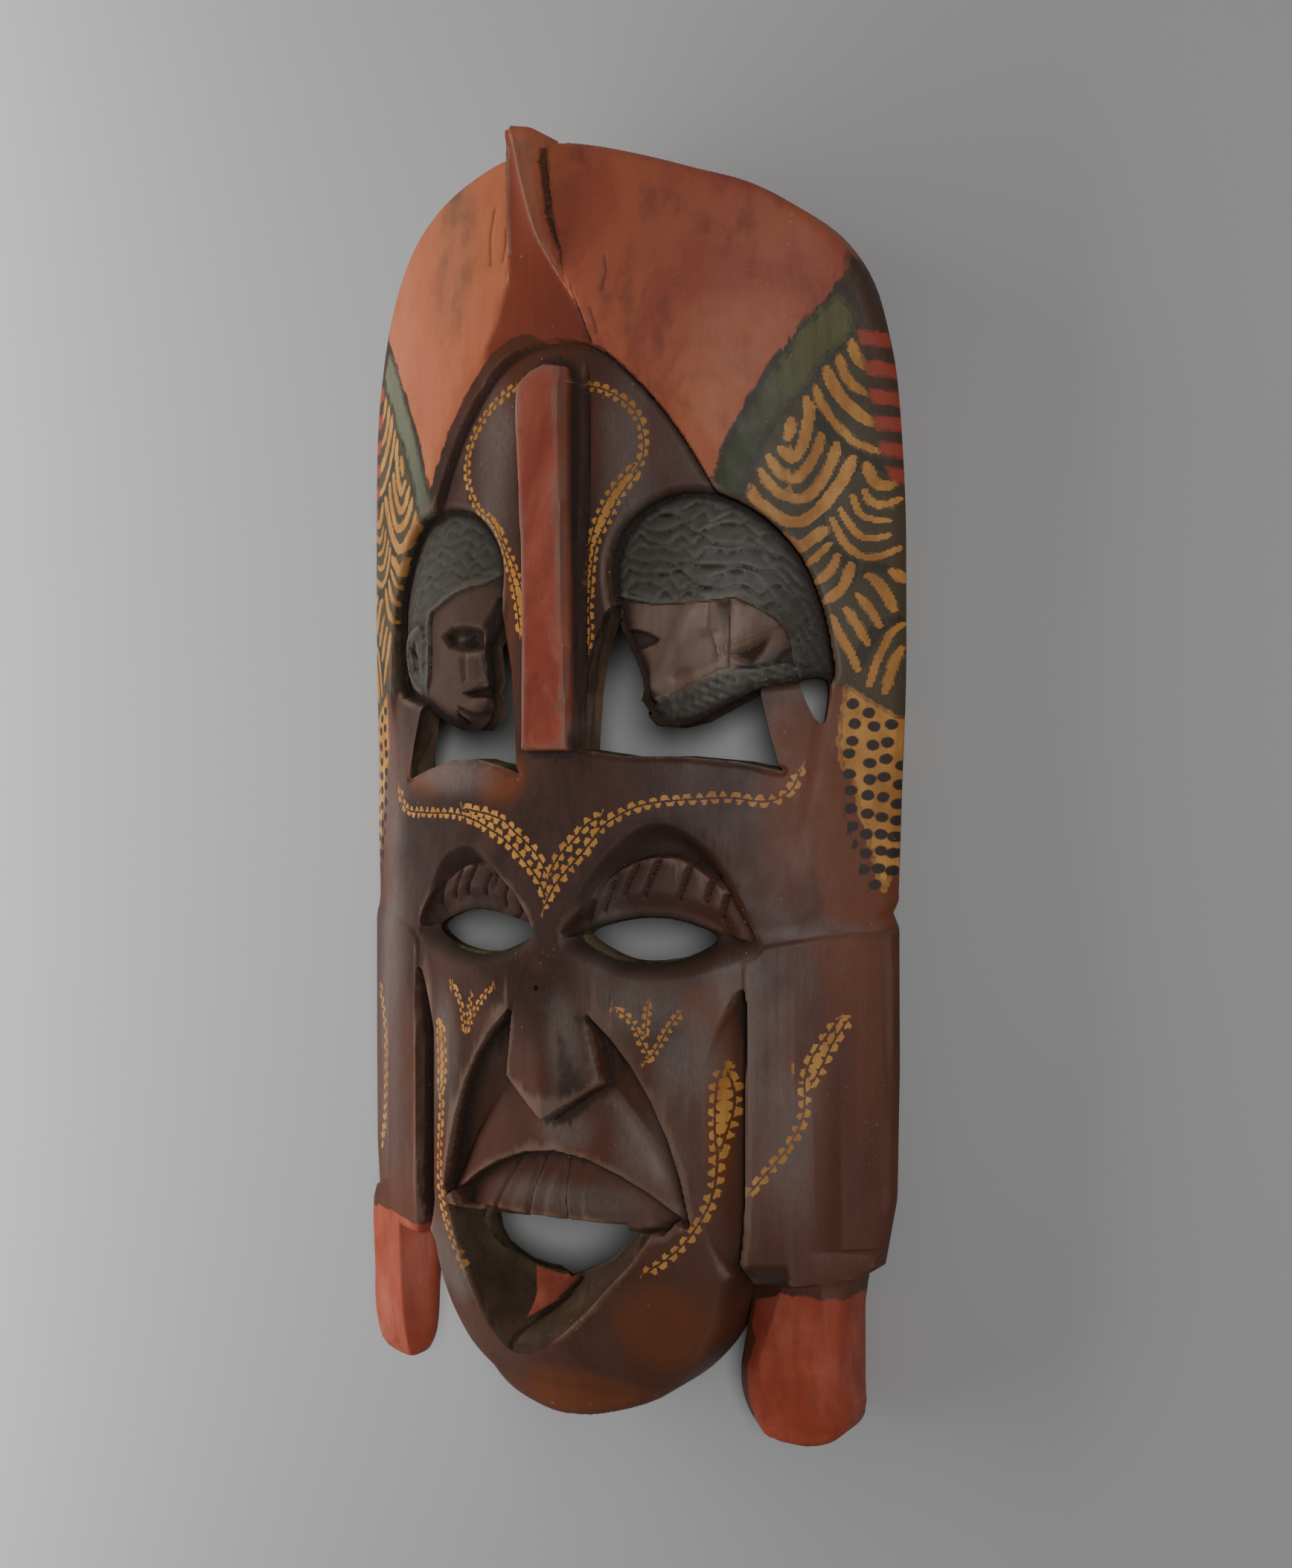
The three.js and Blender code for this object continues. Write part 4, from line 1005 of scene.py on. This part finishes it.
def markPaint(piece):
    x, y, z = meshPoints(piece).T
    side = np.abs(x)
    marks = {name + "Zone": signedTo(paint[name], side, y, 30)
             for name in ("green", "border", "panel", "strip", "band", "side")}
    fromForehead = signedTo(foreheadOutline, x, y, 30) - 5.0 * between(x, -2, -12) * between(y, 96, 110)
    hairPart = np.maximum(signedTo(paint["hair"], side, y, 30), -fromForehead)
    left, ridge = crestLines(y, "left", "ridge")
    facet = np.maximum(np.maximum(left - x, x - ridge), 168 - y)
    # where the pale painted highlight runs: along the crest's ridge, and along its left edge above y 195
    ridges = np.minimum(np.abs(x - ridge), np.abs(x - left) + (y < 195) * 20)
    openings = [napeHole, face["opening"]]
    openings += [head["window"] for head in heads] + [eye["slot"] for eye in eyes]
    locksZone, skinZone = headZones(x, y)
    paintedFrom = np.where(x > 0, mix(178.0, 181.0, between(x, 72, 82)), 171.5)
    marks.update(
        hairZone=np.maximum(hairPart, -signedTo(paint["feather"], x, y)),
        strokeEdge=brushed(strokes, side, y), gapEdge=brushed(gaps, side, y),
        stripeEdge=np.maximum(brushed(stripes, side, y), signedTo(paint["strip"], side, y)),
        dotEdge=nearest(np.hypot(side - dotX, y - dotY) - dotRadius for dotX, dotY in dots),
        crestZone=np.where(z > 40, facet, 20.0), crestRidge=np.where((z > 40) & (y > 172), ridges, 20.0),
        barZone=signedTo(bar["outline"], x, y), mouthZone=signedTo(mouthOutline, x, y),
        tongueZone=signedTo(face["tongue"], x, y), locksZone=locksZone, skinZone=skinZone,
        openingZone=nearest(signedTo(shape, x, y) for shape in openings), shade=shadeOver(x, y),
        rimEdge=nearest(awayFrom(rim, x, y) for rim in plateRims),
        plugZone=np.where((y < -160) & (side > 66), y + paintedFrom, 20.0))
    for name, places in tints.items():
        marks[name] = np.maximum.reduce([mound(x, y, *place) for place in places])
    low = (-124, -240)
    gridX, gridY = np.meshgrid(np.arange(low[0], 125.0), np.arange(low[1], 259.0))
    heights = maskFront(gridX.ravel(), gridY.ravel()).reshape(gridX.shape)
    inside = signedTo(maskOutline, x, y, 60) < 0
    for name, reach in (("sharp", 2), ("broad", 7)):
        curve = heights - blurred(blurred(heights, reach), reach)
        marks[name] = np.where(inside, sampled(curve, x, y, low), 0)
    below = sampled(heights, x, y, low) - z
    behind = between(below, 3.0, 5.0) * (signedTo(hollowOutline, x, y, 60) < 0.3) * inside
    marks["behind"] = np.maximum(behind, (z < 0.4) * 1.0)
    for name, values in marks.items():
        addAttribute(piece, name, values)
    markChains(piece)


markPaint(wood)
print("paint marked")

# Into the frame, in metres

wood.data.transform(Matrix.Scale(mm, 4) @ Matrix.Translation((0, -planMiddle, 0)))
pick(wood)
bpy.ops.object.shade_smooth_by_angle(angle=math.radians(38))

# The material, from those distances

colours = dict(
    darkWood=(0.074, 0.038, 0.030), blackWood=(0.030, 0.018, 0.015), redWood=(0.100, 0.030, 0.015),
    warmWood=(0.150, 0.046, 0.018), recessShade=(0.070, 0.034, 0.021), grey=(0.110, 0.088, 0.078),
    dustAndSheen=(0.140, 0.105, 0.090), orangeHair=(0.44, 0.136, 0.062), redHair=(0.300, 0.072, 0.043),
    # the pale ridge colour is a painted highlight
    hairBlotch=(0.130, 0.038, 0.030), crest=(0.170, 0.034, 0.020), ridge=(0.48, 0.21, 0.13),
    brick=(0.225, 0.048, 0.030), brickLight=(0.38, 0.110, 0.070), brickDark=(0.070, 0.018, 0.012),
    plug=(0.31, 0.055, 0.028), plugLight=(0.42, 0.110, 0.068), green=(0.105, 0.096, 0.030),
    greenLow=(0.046, 0.052, 0.026), border=(0.042, 0.032, 0.021), panel=(0.070, 0.052, 0.026),
    panelDark=(0.030, 0.023, 0.014), ochre=(0.52, 0.250, 0.058), ochreDark=(0.34, 0.140, 0.030),
    strip=(0.062, 0.034, 0.022), stripe=(0.30, 0.050, 0.028), locks=(0.056, 0.050, 0.041),
    locksShade=(0.015, 0.012, 0.009), locksWornAndLit=(0.120, 0.108, 0.090), skin=(0.215, 0.140, 0.104),
    skinLow=(0.050, 0.028, 0.020), skinShade=(0.022, 0.013, 0.010), raw=(0.150, 0.125, 0.068),
    rawDark=(0.030, 0.023, 0.013), wornAndLit=(0.20, 0.125, 0.090), side=(0.165, 0.047, 0.020),
    back=(0.205, 0.130, 0.078), backDark=(0.075, 0.045, 0.028), mouth=(0.046, 0.028, 0.017),
    crackWood=(0.080, 0.052, 0.044), shade=(0.028, 0.021, 0.016), rim=(0.19, 0.15, 0.085),
    smudge=(0.115, 0.080, 0.050), panelWorn=(0.055, 0.045, 0.026), greenWorn=(0.045, 0.046, 0.022),
    greenSheen=(0.16, 0.17, 0.12), spot=(0.036, 0.022, 0.017), locksLeft=(0.026, 0.024, 0.020),
    locksBrown=(0.062, 0.042, 0.028), mouthWorn=(0.066, 0.042, 0.027), chip=(0.30, 0.22, 0.15))
tree = None  # the nodes of the material in work


def startMaterial(name):
    global tree
    material = bpy.data.materials.new(name)
    material.use_nodes = True
    tree = material.node_tree
    tree.nodes.clear()
    return material


def put(socket, value):  # a link, a number, or a colour by its name
    if isinstance(value, bpy.types.NodeSocket):
        tree.links.new(value, socket)
    elif isinstance(value, str):
        socket.default_value = (*colours[value], 1)
    else:
        socket.default_value = value


def addNode(kind, inputs=(), **settings):  # with its inputs filled in, by number or by name
    node = tree.nodes.new("ShaderNode" + kind)
    for name, setting in settings.items():
        setattr(node, name, setting)
    for key, value in dict(inputs).items():
        put(node.inputs[key], value)
    return node


def finishMaterial(inputs):
    shader = addNode("BsdfPrincipled", inputs)
    addNode("OutputMaterial", {0: shader.outputs[0]})


def calc(operation, *values):
    return addNode("Math", enumerate(values), operation=operation).outputs[0]


def plus(first, second):
    return calc("ADD", first, second)


def minus(first, second):
    return calc("SUBTRACT", first, second)


def times(first, second):
    return calc("MULTIPLY", first, second)


def blend(share, first, second):
    return addNode("Mix", {0: share, 6: first, 7: second}, data_type="RGBA").outputs[2]


def mixed(share, first, second):
    return addNode("Mix", {0: share, 2: first, 3: second}).outputs[0]


def zone(name):
    return addNode("Attribute", attribute_name=name).outputs["Fac"]


def ramp(value, low, high, bottom=0.0, top=1.0):
    values = enumerate((value, low, high, bottom, top))
    return addNode("MapRange", values, interpolation_type="SMOOTHSTEP").outputs[0]


def noise(place, scale, detail=3.0, rough=0.55, twist=0.0):  # three scales stretch it
    if isinstance(scale, tuple):
        place, scale = addNode("Mapping", {"Vector": place, "Scale": scale}).outputs[0], 1.0
    return addNode("TexNoise", {"Vector": place, "Scale": scale, "Detail": detail, "Roughness": rough,
                                "Distortion": twist}).outputs["Fac"]


def within(name, wobble, soft):  # 1 inside a painted zone, with a hand-made edge
    return ramp(plus(zone(name), wobble), soft, -soft)


def tinted(colour, *tints):  # a value, where the tint starts and is full, its strength and colour: stains, and in places painted shade, sheen or highlight
    for value, low, high, strength, tint in tints:
        colour = blend(ramp(value, low, high, 0.0, strength), colour, tint)
    return colour


def carvedWood():
    material = startMaterial("stainedWood")
    where = addNode("TexCoord")
    place = where.outputs["Object"]
    facing = addNode("SeparateXYZ", {0: where.outputs["Normal"]}).outputs["Z"]
    x, y, _ = addNode("SeparateXYZ", {0: place}).outputs
    grain = noise(place, (290, 24, 290), 4.0, 0.6)
    fine = noise(place, (1100, 330, 1100), 2.0, 0.5)
    blotch = noise(place, (26, 15, 26), 4.0, 0.6, 0.6)
    large = noise(place, (13, 9, 13))
    patch = noise(place, (70, 45, 70), 3.0, 0.6)
    wobble = times(minus(noise(place, 260.0, 2.0), 0.5), 2.2)
    slight = times(wobble, 0.45)
    uneven = minus(blotch, 0.5)
    broad, sharp, behind, shade = zone("broad"), zone("sharp"), zone("behind"), zone("shade")

    colour = tinted("darkWood", (blotch, 0.35, 0.68, 1.0, "blackWood"),
                     (large, 0.45, 0.70, 0.8, "redWood"))
    warm = ramp(plus(zone("warmth"), uneven), 0.15, 0.85, 0.0, 0.85)
    colour = blend(calc("MAXIMUM", warm, ramp(y, -0.03, -0.19, 0.0, 0.3)), colour, "warmWood")
    # dust with a painted greyish sheen over the listed places
    dustAndSheenShare = ramp(plus(zone("dustAndSheen"), uneven), 0.15, 0.95, 0.0, 0.8)
    colour = blend(times(dustAndSheenShare, ramp(fine, 0.3, 0.6, 0.7, 1.0)), colour, "dustAndSheen")
    colour = blend(times(within("sideZone", wobble, 1.8), ramp(x, -0.02, 0.02, 0.25, 0.8)), colour, "side")
    # painted shade: darker in the hollows of the carving
    hollowShade = ramp(broad, -0.8, -3.2, 0.0, 0.6)
    colour = blend(hollowShade, colour, "recessShade")

    ochre = tinted("ochre", (patch, 0.35, 0.7, 1.0, "ochreDark"), (grain, 0.50, 0.75, 0.35, "ochreDark"))
    panel = blend(times(within("gapEdge", wobble, 0.5), 0.75),
                  tinted("panel", (patch, 0.4, 0.7, 1.0, "panelWorn")), "panelDark")
    faded = tinted(ochre, (y, 0.13, 0.03, 0.55, "ochreDark"))
    panel = blend(within("strokeEdge", slight, 0.3), panel, faded)
    # the green paler and greyer towards the far left, a painted sheen
    green = tinted("green", (y, 0.165, 0.115, 1.0, "greenLow"), (grain, 0.40, 0.70, 0.6, "greenWorn"),
                    (x, -0.04, -0.09, 0.6, "greenSheen"))
    # the locks lighter on their crests, worn and partly a painted sheen; painted shade in their grooves and
    # towards the back of the right head
    locks = tinted("locks", (sharp, -0.15, 0.5, 1.0, "locksWornAndLit"), (x, 0.0, -0.01, 0.45, "locksLeft"),
                    (patch, 0.52, 0.74, 0.6, "locksBrown"),
                    (plus(x, times(uneven, 0.03)), 0.068, 0.094, 0.35, "locksShade"),
                    (sharp, -0.1, -0.7, 0.75, "locksShade"))
    skin = tinted("skin", (blotch, 0.40, 0.65, 0.6, "skinLow"), (patch, 0.5, 0.75, 0.5, "redWood"),
                   (x, 0.0, -0.01, 0.85, "skinLow"))
    turned = times(ramp(x, 0.0, -0.01), ramp(zone("openingZone"), 4.6, 2.4))  # the left face's far side, painted dark as shade where it turns from the light
    # painted shade, near black, on that far side and in the faces' hollows
    skin = blend(calc("MAXIMUM", turned, ramp(broad, -0.4, -2.4, 0.0, 0.85)), skin, "skinShade")
    hairColour = hairStain(x, y, place, patch, grain, wobble)
    for name, edge, soft, layer in (
            ("hairZone", wobble, 0.5, hairColour), ("panelZone", slight, 0.4, panel),
            ("borderZone", wobble, 0.5, "border"), ("greenZone", wobble, 0.7, green),
            ("stripZone", wobble, 0.9, "strip"), ("stripeEdge", wobble, 0.7, "stripe"),
            ("bandZone", slight, 0.4, ochre), ("dotEdge", slight, 0.3, "spot"),
            ("locksZone", slight, 0.4, locks), ("skinZone", 0.0, 0.3, skin)):
        colour = blend(within(name, edge, soft), colour, layer)
    # painted shade, near black, where shadeOver marks it
    colour = blend(times(shade, 0.9), colour, "shade")
    rimShare = times(within("rimEdge", times(wobble, 2.0), 1.2),
                     ramp(plus(patch, times(fine, 0.5)), 0.55, 0.85, 0.45, 1.0))
    colour = blend(rimShare, colour, "rim")

    mouth = tinted("mouth", (patch, 0.4, 0.65, 1.0, "mouthWorn"))
    brick = tinted("brick", (blotch, 0.40, 0.72, 1.0, "brickLight"), (patch, 0.56, 0.80, 0.6, "brickDark"))
    plug = tinted("plug", (blotch, 0.40, 0.72, 1.0, "plugLight"), (patch, 0.52, 0.78, 0.45, "brickDark"),
                   (grain, 0.50, 0.80, 0.2, "brickDark"))
    for name, edge, soft, layer in (("mouthZone", 0.3, 0.3, mouth), ("barZone", 0.0, 0.3, brick),
                                    ("tongueZone", 0.0, 0.3, brick), ("plugZone", times(wobble, 1.6),
                                                                      0.4, plug)):
        colour = blend(within(name, edge, soft), colour, layer)
    colour = blend(teeth(place, wobble), colour, ochre)

    # painted shade: near black in the creases
    creaseShade = ramp(sharp, -0.25, -1.4)
    colour = blend(times(creaseShade, 0.8), colour, "blackWood")
    # the sharp ridges lighter: worn there, and partly a painted highlight along the edges
    rubbedAndLit = times(ramp(sharp, 0.4, 1.6, 0.0, 0.65), ramp(patch, 0.35, 0.6, 0.4, 1.0))
    colour = tinted(blend(rubbedAndLit, colour, "wornAndLit"), (grain, 0.42, 0.72, 0.10, "blackWood"),
                     (fine, 0.5, 0.8, 0.15, "grey"))
    chips = times(ramp(noise(place, 700.0, 0.0), 0.83, 0.86, 0.0, 0.7), ramp(blotch, 0.45, 0.6))
    colour = blend(chips, colour, "chip")

    wallShare = times(ramp(facing, 0.55, 0.25), ramp(zone("openingZone"), 2.0, 1.0))
    # the walls round the heads: on the left head's side they take painted shade
    aroundHeads = tinted("skinLow", (x, 0.0, -0.01, 1.0, "shade"))
    raw = tinted("raw", (patch, 0.42, 0.66, 1.0, "rawDark"), (y, 0.006, 0.012, 1.0, aroundHeads))
    beside = times(ramp(y, 0.012, 0.020), ramp(calc("ABSOLUTE", x), 0.028, 0.022))  # the bar's cracked side
    raw = blend(beside, raw, tinted("crackWood", (grain, 0.45, 0.58, 1.0, "blackWood")))
    back = tinted("back", (blotch, 0.35, 0.7, 1.0, "backDark"), (grain, 0.45, 0.65, 0.6, "backDark"))
    colour = blend(behind, blend(wallShare, colour, raw), back)

    rough = plus(ramp(patch, 0.3, 0.7, 0.48, 0.60), times(behind, 0.3))
    rough = plus(plus(rough, times(creaseShade, 0.2)), times(hollowShade, 0.3))
    height = plus(plus(times(grain, 0.35), times(fine, 0.35)), times(patch, 0.5))
    bump = addNode("Bump", {"Strength": 0.35, "Distance": 0.0005, "Height": height})
    painted = calc("MAXIMUM", within("hairZone", wobble, 0.5), within("plugZone", 0.0, 0.4))
    gloss = minus(mixed(painted, 0.30, 0.26), times(within("mouthZone", 0.0, 0.5), 0.2))
    gloss = times(gloss, mixed(shade, 1.0, 0.35))
    finishMaterial({"Base Color": colour, "Roughness": rough, "Normal": bump.outputs["Normal"],
                    "Specular IOR Level": gloss})
    return material


def hairStain(x, y, place, patch, grain, wobble):  # orange on the left and redder on the right
    clouds = noise(place, (15, 12, 15), 5.0, 0.62, 1.2)
    right = ramp(plus(x, times(wobble, 0.004)), -0.022, 0.012)
    high = ramp(plus(y, times(clouds, 0.08)), 0.165, 0.225, 0.25, 1.0)
    cloudy = times(ramp(clouds, 0.44, 0.62), ramp(x, -0.03, 0.02, 0.25, 0.8))
    red = calc("MINIMUM", plus(times(times(right, high), 0.7), times(cloudy, 0.7)), 1.0)
    blotches = times(ramp(patch, 0.50, 0.75, 0.0, 0.55), ramp(x, -0.05, 0.02, 0.35, 1.0))
    colour = blend(blotches, blend(red, "orangeHair", "redHair"), "hairBlotch")
    smudge = times(times(ramp(x, -0.066, -0.054), ramp(x, -0.036, -0.046)), ramp(y, 0.160, 0.195))
    smudge = times(smudge, ramp(patch, 0.35, 0.65, 0.15, 0.7))
    colour = blend(smudge, tinted(colour, (grain, 0.50, 0.80, 0.25, "orangeHair")), "smudge")
    colour = blend(times(within("crestZone", times(wobble, 0.6), 2.6), 0.9), colour, "crest")
    # a painted highlight, pale, along the crest's ridge and its left edge
    return tinted(colour, (plus(zone("crestRidge"), times(wobble, 0.5)), 0.7, 0.1, 0.75, "ridge"))


def teeth(place, wobble):  # on both sides of a thin line, each a little different
    ragged = plus(times(minus(noise(place, 1100.0, 1.0), 0.5), 0.35), times(wobble, 0.06))
    across = plus(zone("chainAcross"), ragged)
    away, turn = calc("ABSOLUTE", across), calc("SIGN", across)
    solid = calc("GREATER_THAN", times(turn, zone("chainSolid")), 0.5)
    step = plus(plus(zone("chainAlong"), ragged), times(turn, 0.21))
    number = addNode("CombineXYZ", {0: calc("FLOOR", step), 1: turn})
    chance = addNode("TexWhiteNoise", {"Vector": number.outputs[0]})
    parts = addNode("SeparateColor", {0: chance.outputs["Color"]})
    shift, size, length = (minus(parts.outputs[k], 0.5) for k in range(3))
    fromMiddle = calc("ABSOLUTE", plus(minus(calc("FRACT", step), 0.5), times(shift, 0.16)))
    pointed, filled = minus(0.44, times(away, 0.27)), plus(0.27, times(away, 0.36))
    wide = plus(mixed(solid, pointed, filled), times(size, 0.16))
    tooth = times(ramp(minus(fromMiddle, wide), 0.03, -0.03), ramp(away, 0.13, 0.20))
    top = mixed(solid, plus(0.92, times(length, 0.3)), 1.7)
    return times(tooth, ramp(minus(away, top), 0.04, -0.04))


wood.data.materials.clear()
wood.data.materials.append(carvedWood())
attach(wood, "root")
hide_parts("mask")
print("material done")

# Floor and light

studio = dict(floor=(0.40, 0.40, 0.40), world=(1.0, 1.0, 1.0), worldStrength=0.10,
              key=dict(place=(-0.62, 0.0, 0.24), size=(1.3, 0.25), power=8.0, spread=180, glossy=False),
              fill=dict(place=(1.28, 0.28, 2.06), size=(0.7, 0.7), power=2.6, spread=50, glossy=True))


def addFloor():
    deselectAll()
    bpy.ops.mesh.primitive_grid_add(x_subdivisions=8, y_subdivisions=8, size=6)
    floor = bpy.context.object
    floor.name = "floor"
    material = startMaterial("palePaper")
    finishMaterial({"Base Color": (*studio["floor"], 1), "Roughness": 0.9})
    floor.data.materials.append(material)


def addLight(name, place, size, power, spread, glossy):
    bpy.ops.object.light_add(type="AREA", location=place)
    light = bpy.context.object
    light.name = name
    light.data.shape = "RECTANGLE"
    light.data.size, light.data.size_y = size
    light.data.energy = power
    light.data.spread = math.radians(spread)
    light.visible_glossy = glossy
    light.rotation_euler = (-Vector(place)).to_track_quat("-Z", "Y").to_euler()


def addWorld():
    world = bpy.data.worlds.new("studio")
    world.use_nodes = True
    background = world.node_tree.nodes["Background"]
    background.inputs["Color"].default_value = (*studio["world"], 1)
    background.inputs["Strength"].default_value = studio["worldStrength"]
    bpy.context.scene.world = world


addFloor()
addLight("keyLight", **studio["key"])
addLight("fillLight", **studio["fill"])
addWorld()

print("scene done")
